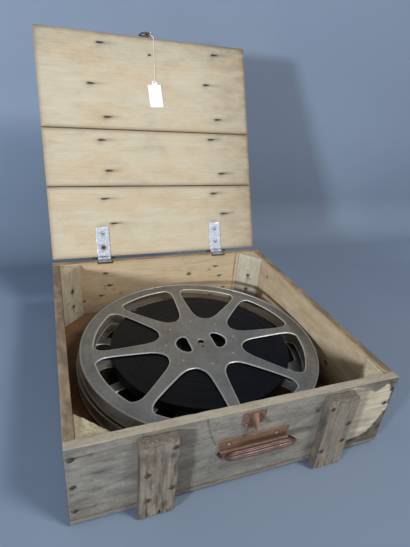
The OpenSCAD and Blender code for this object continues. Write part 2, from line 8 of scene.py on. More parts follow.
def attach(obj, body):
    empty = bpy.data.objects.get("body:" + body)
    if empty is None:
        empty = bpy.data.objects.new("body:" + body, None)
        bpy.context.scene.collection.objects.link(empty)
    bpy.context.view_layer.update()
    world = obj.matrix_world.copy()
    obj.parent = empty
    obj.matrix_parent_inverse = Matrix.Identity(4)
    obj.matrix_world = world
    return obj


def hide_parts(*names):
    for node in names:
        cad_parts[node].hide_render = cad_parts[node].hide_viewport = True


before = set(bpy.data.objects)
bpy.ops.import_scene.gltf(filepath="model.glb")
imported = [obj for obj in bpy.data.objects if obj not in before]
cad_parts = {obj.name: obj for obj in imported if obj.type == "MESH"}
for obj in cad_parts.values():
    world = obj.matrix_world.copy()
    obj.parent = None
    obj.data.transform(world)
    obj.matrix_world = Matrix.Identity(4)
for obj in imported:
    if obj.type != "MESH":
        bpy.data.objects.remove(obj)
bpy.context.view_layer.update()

MM = 0.001
YS, FOOT = -304.36, 6.0
W2, D, H = 210.0, 420.0, 119.0
PY, PZ = D + 3.3, H + 0.05
LEAN = math.radians(66)
LID_N = -1.55
LID_T = 12.0
FINE = 1.0


# ------------------------------------------------------------ places
def crate(p):
    p = np.asarray(p, float)
    return np.stack([p[:, 0], p[:, 1] + YS, p[:, 2] + FOOT], 1) * MM


def on_lid(p):
    """local x, u up the lid from the hinge pin, n out of the lid's inner face"""
    p = np.asarray(p, float)
    c, s = math.cos(LEAN), math.sin(LEAN)
    return crate(np.stack([p[:, 0], PY + p[:, 1] * c - p[:, 2] * s, PZ + p[:, 1] * s + p[:, 2] * c], 1))


def vec(*a):
    return np.array(a, float)


# ------------------------------------------------------------ camera
def set_camera():
    rx, ry, rz = math.radians(26.87), math.radians(5.53), math.radians(-22.37)
    R = np.array([[math.cos(rz), -math.sin(rz), 0], [math.sin(rz), math.cos(rz), 0], [0, 0, 1]])
    r = R @ vec(1, 0, 0)
    fwd = R @ vec(0, math.cos(rx), -math.sin(rx))
    up = R @ vec(0, math.sin(rx), math.cos(rx))
    r2 = r * math.cos(ry) + up * math.sin(ry)
    u2 = -r * math.sin(ry) + up * math.cos(ry)
    pos = crate([[12.17 - W2, -285.92, 455.79]])[0]
    m = np.eye(4)
    m[:3, 0], m[:3, 1], m[:3, 2], m[:3, 3] = r2, u2, -fwd, pos
    cam = bpy.data.cameras.new("photo_camera")
    cam.lens = 399.84 / 547 * 36
    cam.sensor_width = 36
    cam.sensor_fit = "AUTO"
    cam.clip_start, cam.clip_end = 0.02, 30
    ob = bpy.data.objects.new("photo_camera", cam)
    ob.matrix_world = Matrix(m.tolist())
    bpy.context.scene.collection.objects.link(ob)
    bpy.context.scene.camera = ob


set_camera()


# ------------------------------------------------------------ noise
def _hash(i, j, k, seed):
    h = (i * 374761393 + j * 668265263 + k * 1103515245 + seed * 97463477) & 0xFFFFFFFF
    h = ((h ^ (h >> 13)) * 1274126177) & 0xFFFFFFFF
    return ((h ^ (h >> 16)) & 0xFFFF) / 32767.5 - 1.0


def noise(x, y, z, seed=0):
    x, y, z = np.broadcast_arrays(np.asarray(x, float), np.asarray(y, float), np.asarray(z, float))
    i, j, k = np.floor(x).astype(np.int64), np.floor(y).astype(np.int64), np.floor(z).astype(np.int64)
    f, g, h = x - i, y - j, z - k
    f, g, h = f * f * (3 - 2 * f), g * g * (3 - 2 * g), h * h * (3 - 2 * h)
    out = 0
    for a in (0, 1):
        for b in (0, 1):
            for c in (0, 1):
                w = (f if a else 1 - f) * (g if b else 1 - g) * (h if c else 1 - h)
                out = out + w * _hash(i + a, j + b, k + c, seed)
    return out


def fbm(x, y, z, seed=0, octaves=3):
    out, amp = 0, 1.0
    for o in range(octaves):
        out = out + amp * noise(np.asarray(x) * 2 ** o, np.asarray(y) * 2 ** o, np.asarray(z) * 2 ** o, seed + 17 * o)
        amp *= 0.5
    return out / 1.5


def bump(x, a, r):
    return np.exp(-((x - a) / r) ** 2)


def spot(a, b, a0, b0, ra, rb, turn=0.0):
    t = math.radians(turn)
    da, db = a - a0, b - b0
    p, q = da * math.cos(t) + db * math.sin(t), -da * math.sin(t) + db * math.cos(t)
    return np.exp(-((p / ra) ** 2 + (q / rb) ** 2))


def sstep(x, lo, hi):
    t = np.clip((x - lo) / (hi - lo), 0, 1)
    return t * t * (3 - 2 * t)


def line_dist(a, b, pts):
    """distance to a polyline, and how far along it (0 to 1)"""
    best = np.full(np.shape(a), 1e9)
    way = np.zeros(np.shape(a))
    n = len(pts) - 1
    for i in range(n):
        (x0, y0), (x1, y1) = pts[i], pts[i + 1]
        dx, dy = x1 - x0, y1 - y0
        t = np.clip(((a - x0) * dx + (b - y0) * dy) / (dx * dx + dy * dy), 0, 1)
        d = np.hypot(a - x0 - t * dx, b - y0 - t * dy)
        way = np.where(d < best, (i + t) / n, way)
        best = np.minimum(best, d)
    return best, way


# ------------------------------------------------------------ mesh helpers
def add_mesh(name, verts, faces, mat, attrs=None, sharp=None, smooth=True):
    me = bpy.data.meshes.new(name)
    me.from_pydata(np.asarray(verts, float).tolist(), [], faces.tolist() if isinstance(faces, np.ndarray) else faces)
    if smooth:
        me.polygons.foreach_set("use_smooth", np.ones(len(me.polygons), bool))
        if sharp is not None:
            me.set_sharp_from_angle(angle=math.radians(sharp))
    for k, v in (attrs or {}).items():
        v = np.asarray(v, np.float32)
        if v.shape[1] == 3:
            at = me.attributes.new(k, "FLOAT_VECTOR", "POINT")
            at.data.foreach_set("vector", v.ravel())
        else:
            at = me.attributes.new(k, "FLOAT_COLOR", "POINT")
            at.data.foreach_set("color", v.ravel())
    me.update()
    ob = bpy.data.objects.new(name, me)
    bpy.context.scene.collection.objects.link(ob)
    if mat is not None:
        me.materials.append(mat)
    return ob


class Build:
    """collects several closed pieces into one mesh, with local coordinates as an attribute"""

    def __init__(self):
        self.v, self.f, self.l, self.a, self.n = [], [], [], [], 0

    def add(self, verts, faces, loc=None, paint=None):
        verts = np.asarray(verts, float)
        self.v.append(verts)
        self.l.append(verts if loc is None else np.asarray(loc, float))
        self.a.append(np.zeros((len(verts), 4)) if paint is None else np.broadcast_to(np.asarray(paint, float), (len(verts), 4)))
        self.f += [[i + self.n for i in f] for f in (faces.tolist() if isinstance(faces, np.ndarray) else faces)]
        self.n += len(verts)

    def done(self, name, mat, place=crate, sharp=40, offset=(0, 0, 0)):
        v = np.concatenate(self.v)
        loc = (np.concatenate(self.l) + np.asarray(offset, float)) * MM
        return add_mesh(name, place(v), self.f, mat, {"loc": loc, "ma": np.concatenate(self.a)}, sharp=sharp)


def rings_mesh(rings, closed=False, caps=True):
    """rings: list of (n, 3) arrays with the same n; skins them"""
    n = len(rings[0])
    v = np.concatenate(rings)
    f = []
    m = len(rings)
    for i in range(m if closed else m - 1):
        j = (i + 1) % m
        for k in range(n):
            l = (k + 1) % n
            f.append([i * n + k, i * n + l, j * n + l, j * n + k])
    if caps and not closed:
        f.append(list(range(n))[::-1])
        f.append([(m - 1) * n + k for k in range(n)])
    return v, f


def tube(points, radii, n=12, ref=(0.13, 0.21, 1), caps=True, closed=False, flat=1.0):
    p = np.asarray(points, float)
    m = len(p)
    radii = np.broadcast_to(np.asarray(radii, float), (m,))
    rings = []
    if closed:
        t = np.roll(p, -1, 0) - np.roll(p, 1, 0)
    else:
        t = np.gradient(p, axis=0)
    t /= np.linalg.norm(t, axis=1)[:, None]
    a = np.cross(t[0], np.asarray(ref, float))
    a /= np.linalg.norm(a)
    ang = np.arange(n) * 2 * math.pi / n
    for i in range(m):
        a = a - t[i] * (a @ t[i])
        a /= np.linalg.norm(a)
        b = np.cross(t[i], a)
        rings.append(p[i] + radii[i] * (np.cos(ang)[:, None] * a + flat * np.sin(ang)[:, None] * b))
    return rings_mesh(rings, closed=closed, caps=caps)


def lathe(profile, n=32, arc=None):
    """profile: (r, z) points; closed loop if the first and last are equal, else capped on the axis"""
    prof = np.asarray(profile, float)
    loop = np.allclose(prof[0], prof[-1])
    if loop:
        prof = prof[:-1]
    ang = np.arange(n) * 2 * math.pi / n
    v, f = [], []
    m = len(prof)
    for r, z in prof:
        v.append(np.stack([r * np.cos(ang), r * np.sin(ang), np.full(n, z)], 1))
    v = np.concatenate(v)
    for i in range(m if loop else m - 1):
        j = (i + 1) % m
        for k in range(n):
            l = (k + 1) % n
            f.append([i * n + k, i * n + l, j * n + l, j * n + k])
    if not loop:
        f.append(list(range(n))[::-1])
        f.append([(m - 1) * n + k for k in range(n)])
    return v, f


def rot(v, axis, deg):
    m = np.array(Matrix.Rotation(math.radians(deg), 3, axis))
    return np.asarray(v, float) @ m.T


# ------------------------------------------------------------ boards
def _axis(n, step, fine=()):
    """grid lines over 0..n, closer at both ends and in the fine zones (lo, hi, step)"""
    e = [0, 0.3, 0.7, 1.3, 2.1, 3.1]
    if n < 14:
        e = [0, 0.3, 0.8, 1.6]
    stops = [(e[-1], None)]
    for lo, hi, st in sorted(fine):
        lo, hi = max(lo, e[-1]), min(hi, n - e[-1])
        if hi > lo:
            stops += [(lo, None), (hi, st)]
    stops.append((n - e[-1], None))
    mid = [e[-1]]
    for x, st in stops[1:]:
        gap = x - mid[-1]
        if gap < 1e-6:
            continue
        k = max(1, int(round(gap / (st or step))))
        mid += [mid[-1] + gap * i / k for i in range(1, k)] + [x]
    return np.array(e[:-1] + mid + [n - q for q in e[:-1][::-1]])


def board(name, L, W, T, place, mat, seed, step=1.7, edge=(0.5, 0.9), pith=(None, None), tilt=0.0, knots=(),
          sculpt=None, paint=None, rough=0.10, wave=0.25, outline=None, clip=True, mat2=None, faces2=(),
          fine_a=(), fine_b=(), fine_c=()):
    """A sawn board: a along the grain (0..L), b across (0..W), c through (0..T).
    sculpt(a, b, c, face) gives extra depth in mm, paint(a, b, c, face) a dict of masks."""
    rng = np.random.default_rng(seed)
    step *= FINE
    A, B, C = _axis(L, step, fine_a), _axis(W, step, fine_b), _axis(T, step * 1.6, fine_c)
    na, nb, nc = len(A), len(B), len(C)
    idx = np.full((na, nb, nc), -1, np.int64)
    I, J, K = np.meshgrid(np.arange(na), np.arange(nb), np.arange(nc), indexing="ij")
    m = (I == 0) | (I == na - 1) | (J == 0) | (J == nb - 1) | (K == 0) | (K == nc - 1)
    idx[m] = np.arange(m.sum())
    a, b, c = A[I[m]], B[J[m]], C[K[m]]
    F = []

    def quad(q, flip):
        x = np.stack([q[:-1, :-1], q[1:, :-1], q[1:, 1:], q[:-1, 1:]], -1).reshape(-1, 4)
        F.append(x[:, ::-1] if flip else x)

    quad(idx[:, :, 0], True)
    quad(idx[:, :, -1], False)
    quad(idx[:, 0, :], False)
    quad(idx[:, -1, :], True)
    quad(idx[0, :, :], True)
    quad(idx[-1, :, :], False)
    which = np.concatenate([np.full(len(x), 1 if k in faces2 else 0) for k, x in zip(("c0", "c1", "b0", "b1", "a0", "a1"), F)])
    F = np.concatenate(F)
    # worn edges: a rounding that changes along the board
    r = edge[0] + edge[1] * np.clip(fbm(a / 14, b / 14, c / 14, seed + 1) * 0.9 + 0.35, 0.0, 2.0)
    r = np.minimum(r, 0.42 * min(L, W, T))
    dims = vec(L, W, T)
    P = np.stack([a, b, c], 1)
    lo, hi = r[:, None], dims - r[:, None]
    q = np.clip(P, lo, hi)
    d = P - q
    ln = np.linalg.norm(d, axis=1)
    nrm = d / np.maximum(ln, 1e-9)[:, None]
    P2 = q + nrm * r[:, None]
    face_c0, face_c1 = c < 1e-6, c > T - 1e-6
    side = {"c0": face_c0, "c1": face_c1, "a0": a < 1e-6, "a1": a > L - 1e-6, "b0": b < 1e-6, "b1": b > W - 1e-6}
    # surface: long saw and grain ridges, slow hollows
    fibre = fbm(a / 42, b / 1.6, c / 1.6, seed + 3, 2)
    slow = fbm(a / 60, b / 28, c / 20, seed + 5, 2)
    end = np.maximum(side["a0"], side["a1"]).astype(float)
    depth = rough * (0.6 + 0.6 * fibre) + wave * (0.5 + 0.5 * slow)
    depth += end * 0.35 * (0.5 + 0.5 * fbm(a / 3, b / 2.2, c / 2.2, seed + 7, 2))
    if sculpt is not None:
        depth = depth + sculpt(a, b, c, side)
    P2 = P2 - nrm * np.maximum(depth, 0)[:, None]
    if outline is not None:
        P2 = outline(P2, a, b, c)
    if clip:
        P2 = np.clip(P2, 0.0, dims)
    # grain coordinates, bent round the knots
    pb, pc = pith
    pb = W * 0.5 + rng.uniform(-20, 20) if pb is None else pb
    pc = -rng.uniform(25, 60) if pc is None else pc
    gb = b - pb + tilt * (a - L / 2) + 2.5 * fbm(a / 150, b / 60, 0, seed + 9, 2)
    gc = c - pc + 3.0 * fbm(a / 190, b / 80, 3, seed + 11, 2)
    rad = np.hypot(gb, gc)
    knot = np.zeros(len(a))
    for (ka, kb, ra, rb) in knots:
        w = spot(a, b, ka, kb, ra * 3.2, rb * 3.0)
        rad = rad + w * rb * 1.6
        knot = np.maximum(knot, spot(a, b, ka, kb, ra, rb))
    grain = np.stack([a + 977.0 * seed % 5000, rad, np.arctan2(gb, gc) * 40], 1)
    masks = {"stain": np.zeros(len(a)), "dirt": np.zeros(len(a)), "fresh": np.zeros(len(a)), "dark": np.zeros(len(a)),
             "edge": np.clip(1 - (np.minimum.reduce([np.maximum(np.minimum(a, L - a), 0), np.maximum(np.minimum(b, W - b), 0)]) / 9.0), 0, 1)}
    if paint is not None:
        for k, v in paint(a, b, c, side).items():
            masks[k] = np.clip(v, 0, 1)
    ma = np.stack([masks["stain"], knot, masks["dirt"], masks["fresh"]], 1)
    mb = np.stack([end, masks["edge"], masks["dark"], np.ones(len(a))], 1)
    o = place(np.zeros((1, 3)))[0]
    ax = [place(e[None])[0] - o for e in np.eye(3)]
    if np.linalg.det(np.stack(ax)) < 0:
        F = F[:, ::-1]
    loc = np.stack([a + 313.0 * seed, b + 71.0 * seed, c], 1)
    ob = add_mesh(name, place(P2), F, mat, {"loc": loc * MM, "grain": grain * MM, "ma": ma, "mb": mb}, sharp=62)
    if mat2 is not None:
        ob.data.materials.append(mat2)
        ob.data.polygons.foreach_set("material_index", which)
    return ob


# ------------------------------------------------------------ flat sheets with holes
def circle(cx, cy, r, n=48, a0=0.0):
    t = np.arange(n) * 2 * math.pi / n + a0
    return np.stack([cx + r * np.cos(t), cy + r * np.sin(t)], 1)


def inside(pts, loop):
    x, y = pts[:, 0], pts[:, 1]
    res = np.zeros(len(pts), bool)
    x0, y0 = loop[:, 0], loop[:, 1]
    x1, y1 = np.roll(x0, -1), np.roll(y0, -1)
    for i in range(len(loop)):
        c = (y0[i] > y) != (y1[i] > y)
        if c.any():
            xi = (x1[i] - x0[i]) * (y - y0[i]) / (y1[i] - y0[i] + 1e-30) + x0[i]
            res ^= c & (x < xi)
    return res


def loop_dist(pts, loop):
    best = np.full(len(pts), 1e9)
    q = np.roll(loop, -1, 0)
    for (x0, y0), (x1, y1) in zip(loop, q):
        dx, dy = x1 - x0, y1 - y0
        t = np.clip(((pts[:, 0] - x0) * dx + (pts[:, 1] - y0) * dy) / (dx * dx + dy * dy + 1e-12), 0, 1)
        best = np.minimum(best, (pts[:, 0] - x0 - t * dx) ** 2 + (pts[:, 1] - y0 - t * dy) ** 2)
    return np.sqrt(best)


def inset(loop, d):
    """moves a counter-clockwise loop inwards by d"""
    p, n = np.roll(loop, 1, 0), np.roll(loop, -1, 0)
    t = n - p
    t /= np.maximum(np.linalg.norm(t, axis=1), 1e-9)[:, None]
    return loop + d * np.stack([-t[:, 1], t[:, 0]], 1)


def area(loop):
    x, y = loop[:, 0], loop[:, 1]
    return 0.5 * np.sum(x * np.roll(y, -1) - np.roll(x, -1) * y)


def plate(outer, holes, thick, step, top=None, soft=0.25, extra=None):
    """Sheet in the xy plane from z = 0 to thick, with rounded edges. top(x, y) gives a rise of both faces."""
    outer = outer if area(outer) > 0 else outer[::-1]
    loops = [outer] + [h[::-1] if area(h) > 0 else h for h in holes]
    inner = [inset(l, soft) for l in loops]
    pts, edges, tag = [], [], []
    n = 0
    for l in loops + inner:
        m = len(l)
        pts.append(l)
        edges += [(n + i, n + (i + 1) % m) for i in range(m)]
        n += m
    nb = sum(len(l) for l in loops)
    lo, hi = outer.min(0), outer.max(0)
    gx = np.arange(lo[0] + step * 0.4, hi[0], step)
    gy = np.arange(lo[1] + step * 0.4, hi[1], step * 0.87)
    X, Y = np.meshgrid(gx, gy)
    X = X + (np.arange(len(gy)) % 2)[:, None] * step * 0.5
    G = np.stack([X.ravel(), Y.ravel()], 1)
    if extra is not None:
        G = np.concatenate([G, extra])
    ok = inside(G, outer)
    G = G[ok]
    for l in loops[1:]:
        G = G[~inside(G, l)]
    keep = np.ones(len(G), bool)
    for l in inner:
        keep &= loop_dist(G, l) > step * 0.35
    for l in loops:
        keep &= loop_dist(G, l) > soft * 1.5
    G = G[keep]
    allp = np.concatenate(pts + [G])
    res = delaunay_2d_cdt([Vector(p) for p in allp.tolist()], edges, [], 0, 1e-7)
    V = np.array([[p[0], p[1]] for p in res[0]])
    orig = res[3]
    tris = np.array([f for f in res[2] if len(f) == 3])
    cen = V[tris].mean(1)
    ok = inside(cen, outer)
    for l in loops[1:]:
        ok &= ~inside(cen, l)
    tris = tris[ok]
    onb = np.array([bool(o) and min(o) < nb for o in orig])
    z = np.zeros(len(V)) if top is None else top(V[:, 0], V[:, 1])
    drop = np.where(onb, min(soft, thick * 0.45), 0.0)
    up = np.stack([V[:, 0], V[:, 1], z + thick - drop], 1)
    dn = np.stack([V[:, 0], V[:, 1], z + drop], 1)
    m = len(V)
    t3 = V[tris]
    ccw = ((t3[:, 1, 0] - t3[:, 0, 0]) * (t3[:, 2, 1] - t3[:, 0, 1]) - (t3[:, 1, 1] - t3[:, 0, 1]) * (t3[:, 2, 0] - t3[:, 0, 0])) > 0
    tris = np.where(ccw[:, None], tris, tris[:, ::-1])
    e = np.concatenate([tris[:, [0, 1]], tris[:, [1, 2]], tris[:, [2, 0]]])
    key = {}
    for i, j in e.tolist():
        key[(i, j)] = key.get((i, j), 0) + 1
    rim = [(i, j) for (i, j) in key if (j, i) not in key]
    faces = tris.tolist() + (tris[:, ::-1] + m).tolist() + [[j, i, i + m, j + m] for i, j in rim]
    used = np.unique(np.array([i for f in faces for i in f]))
    remap = np.full(2 * m, -1)
    remap[used] = np.arange(len(used))
    return np.concatenate([up, dn])[used], [[int(remap[i]) for i in f] for f in faces]


# ------------------------------------------------------------ shader helpers
class Val:
    def __init__(self, sock):
        self.s = sock

    def __add__(self, o):
        return math_("ADD", self, o)

    __radd__ = __add__

    def __sub__(self, o):
        return math_("SUBTRACT", self, o)

    def __rsub__(self, o):
        return math_("SUBTRACT", o, self)

    def __mul__(self, o):
        return math_("MULTIPLY", self, o)

    __rmul__ = __mul__


T = None


def new_mat(name):
    global T
    m = bpy.data.materials.new(name)
    m.use_nodes = True
    T = m.node_tree
    T.nodes.clear()
    return m


def put(sock, v):
    if isinstance(v, Val):
        T.links.new(v.s, sock)
    elif isinstance(v, (tuple, list)) and len(v) == 3 and sock.type == "RGBA":
        sock.default_value = (*v, 1)
    else:
        sock.default_value = v


def math_(op, a, b=0.0, c=0.0, clamp=False):
    n = T.nodes.new("ShaderNodeMath")
    n.operation = op
    n.use_clamp = clamp
    put(n.inputs[0], a)
    put(n.inputs[1], b)
    put(n.inputs[2], c)
    return Val(n.outputs[0])


def clamp01(v):
    return math_("ADD", v, 0.0, clamp=True)


def power(v, e):
    return math_("POWER", v, e)


def smooth(v, lo, hi, a=0.0, b=1.0):
    n = T.nodes.new("ShaderNodeMapRange")
    n.interpolation_type = "SMOOTHSTEP"
    put(n.inputs["Value"], v)
    for k, x in (("From Min", lo), ("From Max", hi), ("To Min", a), ("To Max", b)):
        put(n.inputs[k], x)
    return Val(n.outputs["Result"])


def attr(name, kind="Vector"):
    n = T.nodes.new("ShaderNodeAttribute")
    n.attribute_type = "GEOMETRY"
    n.attribute_name = name
    return Val(n.outputs[kind])


def split(v):
    n = T.nodes.new("ShaderNodeSeparateXYZ")
    put(n.inputs[0], v)
    return [Val(o) for o in n.outputs]


def rgb_split(v):
    n = T.nodes.new("ShaderNodeSeparateColor")
    put(n.inputs[0], v)
    return [Val(o) for o in n.outputs[:3]]


def join(x, y, z):
    n = T.nodes.new("ShaderNodeCombineXYZ")
    for i, v in enumerate((x, y, z)):
        put(n.inputs[i], v)
    return Val(n.outputs[0])


def scaled(v, sx, sy=None, sz=None):
    n = T.nodes.new("ShaderNodeVectorMath")
    n.operation = "MULTIPLY"
    put(n.inputs[0], v)
    n.inputs[1].default_value = (sx, sx if sy is None else sy, sx if sz is None else sz)
    return Val(n.outputs[0])


def noise_(v, scale=1.0, detail=3.0, rough=0.55, dist=0.0, color=False):
    n = T.nodes.new("ShaderNodeTexNoise")
    n.noise_dimensions = "3D"
    put(n.inputs["Vector"], v)
    n.inputs["Scale"].default_value = scale
    n.inputs["Detail"].default_value = detail
    n.inputs["Roughness"].default_value = rough
    n.inputs["Distortion"].default_value = dist
    return Val(n.outputs["Color" if color else "Fac"])


def voronoi(v, scale=1.0, feature="F1", rand=1.0):
    n = T.nodes.new("ShaderNodeTexVoronoi")
    n.feature = feature
    put(n.inputs["Vector"], v)
    n.inputs["Scale"].default_value = scale
    n.inputs["Randomness"].default_value = rand
    return Val(n.outputs["Distance"])


def mix(fac, a, b, mode="MIX"):
    n = T.nodes.new("ShaderNodeMix")
    n.data_type = "RGBA"
    n.blend_type = mode
    n.clamp_factor = True
    put(n.inputs[0], fac)
    put(n.inputs[6], a)
    put(n.inputs[7], b)
    return Val(n.outputs[2])


def bump_(height, strength=1.0, dist=0.0002, normal=None):
    n = T.nodes.new("ShaderNodeBump")
    n.inputs["Strength"].default_value = strength
    n.inputs["Distance"].default_value = dist
    put(n.inputs["Height"], height)
    if normal is not None:
        put(n.inputs["Normal"], normal)
    return Val(n.outputs[0])


def finish_mat(m, color, rough, metallic=0.0, normal=None, spec=0.5, coat=0.0, sheen=0.0):
    p = T.nodes.new("ShaderNodeBsdfPrincipled")
    o = T.nodes.new("ShaderNodeOutputMaterial")
    put(p.inputs["Base Color"], color)
    put(p.inputs["Roughness"], rough)
    put(p.inputs["Metallic"], metallic)
    put(p.inputs["Specular IOR Level"], spec)
    if coat:
        put(p.inputs["Coat Weight"], coat)
        p.inputs["Coat Roughness"].default_value = 0.25
    if sheen:
        p.inputs["Sheen Weight"].default_value = sheen
    if normal is not None:
        put(p.inputs["Normal"], normal)
    T.links.new(p.outputs[0], o.inputs[0])
    return m


def srgb(r, g, b):
    def f(c):
        c /= 255
        return c / 12.92 if c <= 0.04045 else ((c + 0.055) / 1.055) ** 2.4

    return (f(r), f(g), f(b))


# ------------------------------------------------------------ materials
def wood(name, early, late, grey, weather=0.3, ring=3.0, contrast=0.5, warm=None, edge_dark=0.25, dust=0.2, rough=0.72,
         endc=None, stain=(46, 42, 40), relief=1.0, blotch=0.5, grime=0.1, fleck=0.0):
    """bare wood. grain attribute: x along, y distance from the pith, z round it; all in metres"""
    m = new_mat(name)
    loc = scaled(attr("loc"), 1000.0)
    g = scaled(attr("grain"), 1000.0)
    gx, gy, gz = split(g)
    ma, mb = attr("ma", "Color"), attr("mb", "Color")
    st, knot, dirt = rgb_split(ma)
    fresh = attr("ma", "Alpha")
    end, edge, dark = rgb_split(mb)
    # growth rings
    wob = noise_(scaled(g, 0.006, 0.03, 0.02), 1.0, 3, 0.6)
    wid = noise_(scaled(g, 0.0006, 0.05, 0.004), 1.0, 2, 0.5)
    q = gy * (1.0 / ring) + (wob - 0.5) * 1.6 + (wid - 0.5) * 2.2
    f = math_("FRACT", q)
    late_w = smooth(f, 0.25, 0.86) * smooth(f, 0.88, 0.99, 1.0, 0.0)
    vary = noise_(scaled(g, 0.004, 0.3, 0.02), 1.0, 2, 0.5)
    late_w = late_w * smooth(vary, 0.3, 0.75, 0.35, 1.0)
    fibre = noise_(scaled(loc, 0.028, 0.9, 0.9), 1.0, 4, 0.62)
    fine = noise_(scaled(loc, 0.11, 3.4, 3.4), 1.0, 3, 0.6)
    pores = smooth(noise_(scaled(loc, 0.16, 2.6, 2.6), 1.0, 1, 0.5), 0.66, 0.74)
    big = noise_(scaled(loc, 0.009, 0.022, 0.02), 1.0, 3, 0.55)
    mid = noise_(scaled(loc, 0.03, 0.07, 0.07), 1.0, 4, 0.6)
    E, L, G = srgb(*early), srgb(*late), srgb(*grey)
    col = mix(late_w * contrast, E, L)
    col = mix(smooth(fibre, 0.32, 0.72) * 0.22 * (1 - end), col, srgb(*[c * 0.8 for c in late]))
    col = mix(smooth(fine, 0.35, 0.7, 0.0, 0.16), col, srgb(*[min(255, c * 1.1 + 6) for c in early]))
    if warm is not None:
        w = smooth(big, 0.42, 0.68) * blotch
        col = mix(w, col, srgb(*warm))
        col = mix(smooth(edge, 0.15, 1.0) * edge_dark, col, srgb(*[c * 0.82 for c in warm]))
    # weathering
    wmask = clamp01(smooth(mid, 0.3, 0.72) * 0.9 + weather - 0.45 + (big - 0.5) * 0.8)
    wmask = wmask * weather * 2.0 * (1 - fresh)
    col = mix(clamp01(wmask), col, mix(late_w * contrast * 0.8, G, srgb(*[c * 0.72 for c in grey])))
    col = mix(clamp01(fresh) * 0.93, col, mix(late_w * 0.35, srgb(228, 216, 190), srgb(208, 188, 152)))
    # knots
    krings = math_("FRACT", gy * 0.9)
    col = mix(smooth(knot, 0.25, 0.7) * 0.85, col, mix(krings, srgb(112, 72, 44), srgb(70, 44, 30)))
    # end grain with saw marks
    saw = noise_(scaled(loc, 0.9, 0.16, 1.4), 1.0, 3, 0.7)
    EC = srgb(*(endc or [c * 0.86 for c in early]))
    col = mix(clamp01(end) * 0.75, col, mix(smooth(saw, 0.35, 0.65), EC, srgb(*[c * 0.72 for c in (endc or early)])))
    # handling grime in soft patches and along the fibres
    gr = smooth(noise_(scaled(loc, 0.014, 0.05, 0.05), 1.0, 5, 0.62, 0.8), 0.47, 0.72) * 0.75 + smooth(fibre * mid, 0.27, 0.36) * 0.4
    col = mix(clamp01(gr) * grime * (1 - fresh), col, srgb(74, 64, 55))
    if fleck:
        f1 = noise_(scaled(loc, 0.2, 0.4, 0.4), 1.0, 3, 0.65)
        col = mix(smooth(f1, 0.55, 0.68) * fleck, col, srgb(*[min(255, c * 1.25 + 12) for c in grey]))
        col = mix(smooth(f1, 0.3, 0.43, 1.0, 0.0) * fleck * 0.9, col, srgb(*[c * 0.6 for c in grey]))
    # stains, dirt and specks; the dirt and dark masks also carry painted shade set in the paint functions
    col = mix(pores * 0.3, col, srgb(*[c * 0.6 for c in late]))
    brk = smooth(mid, 0.28, 0.6, 0.55, 1.1)
    col = mix(clamp01(st * brk) * 0.93, col, srgb(*stain))
    col = mix(clamp01(dirt * brk) * 0.8, col, srgb(86, 76, 64))
    speck = smooth(voronoi(scaled(loc, 0.10, 0.14, 0.14), 1.0), 0.0, 0.11, 1.0, 0.0) * smooth(big, 0.4, 0.6)
    col = mix(speck * dust, col, srgb(64, 52, 42))
    scr = smooth(noise_(scaled(loc, 0.02, 1.3, 1.3), 1.0, 2, 0.4, 1.2), 0.68, 0.73)
    col = mix(scr * 0.22, col, srgb(70, 58, 48))
    col = mix(clamp01(dark), col, srgb(20, 15, 12))
    hgt = fibre * 0.5 + fine * 0.35 + late_w * 0.35 - pores * 0.3 + end * saw * 1.2 - scr * 0.25
    nor = bump_(hgt, 0.55 * relief, 0.00045)
    r = clamp01(smooth(fine, 0.2, 0.8, rough - 0.08, rough + 0.1))
    return finish_mat(m, col, r, normal=nor, spec=0.28)


def rusty(name, base, rust=(120, 66, 38), dark=(52, 36, 28), amount=0.6, metal=0.5, rough=0.6, scale=1.0, light=None, worn=0.2):
    m = new_mat(name)
    loc = scaled(attr("loc"), 1000.0 * scale)
    ma = attr("ma", "Color")
    s, hi, lo = rgb_split(ma)
    a = noise_(scaled(loc, 0.22), 1.0, 6, 0.66)
    b = noise_(scaled(loc, 0.9), 1.0, 4, 0.6)
    c = noise_(scaled(loc, 3.2), 1.0, 3, 0.6)
    col = mix(smooth(a, 0.42 - 0.3 * (amount - 0.5), 0.62 - 0.2 * (amount - 0.5)), srgb(*base), srgb(*rust))
    col = mix(smooth(b, 0.5, 0.72) * 0.6, col, srgb(*[min(255, k * 1.25) for k in rust]))
    col = mix(smooth(b, 0.25, 0.42, 1.0, 0.0) * 0.75, col, srgb(*dark))
    col = mix(smooth(c, 0.62, 0.8) * 0.35, col, srgb(*dark))
    # hi channel: worn bright metal and painted highlights (grip, beak); lo channel: dark patches and painted shade
    # (handle roll, grip, beak, catch plate)
    if light is not None:
        col = mix(clamp01(hi + smooth(a * c, 0.34, 0.42) * worn), col, srgb(*light))
    col = mix(clamp01(lo) * 0.85, col, srgb(*dark))
    met = smooth(a, 0.4, 0.62, metal, metal * 0.2)
    nor = bump_(a * 0.8 + b * 0.5 + c * 0.25, 0.6, 0.0004 / scale ** 0.5)
    return finish_mat(m, col, smooth(b, 0.2, 0.8, rough - 0.12, rough + 0.2), met, nor, spec=0.4)


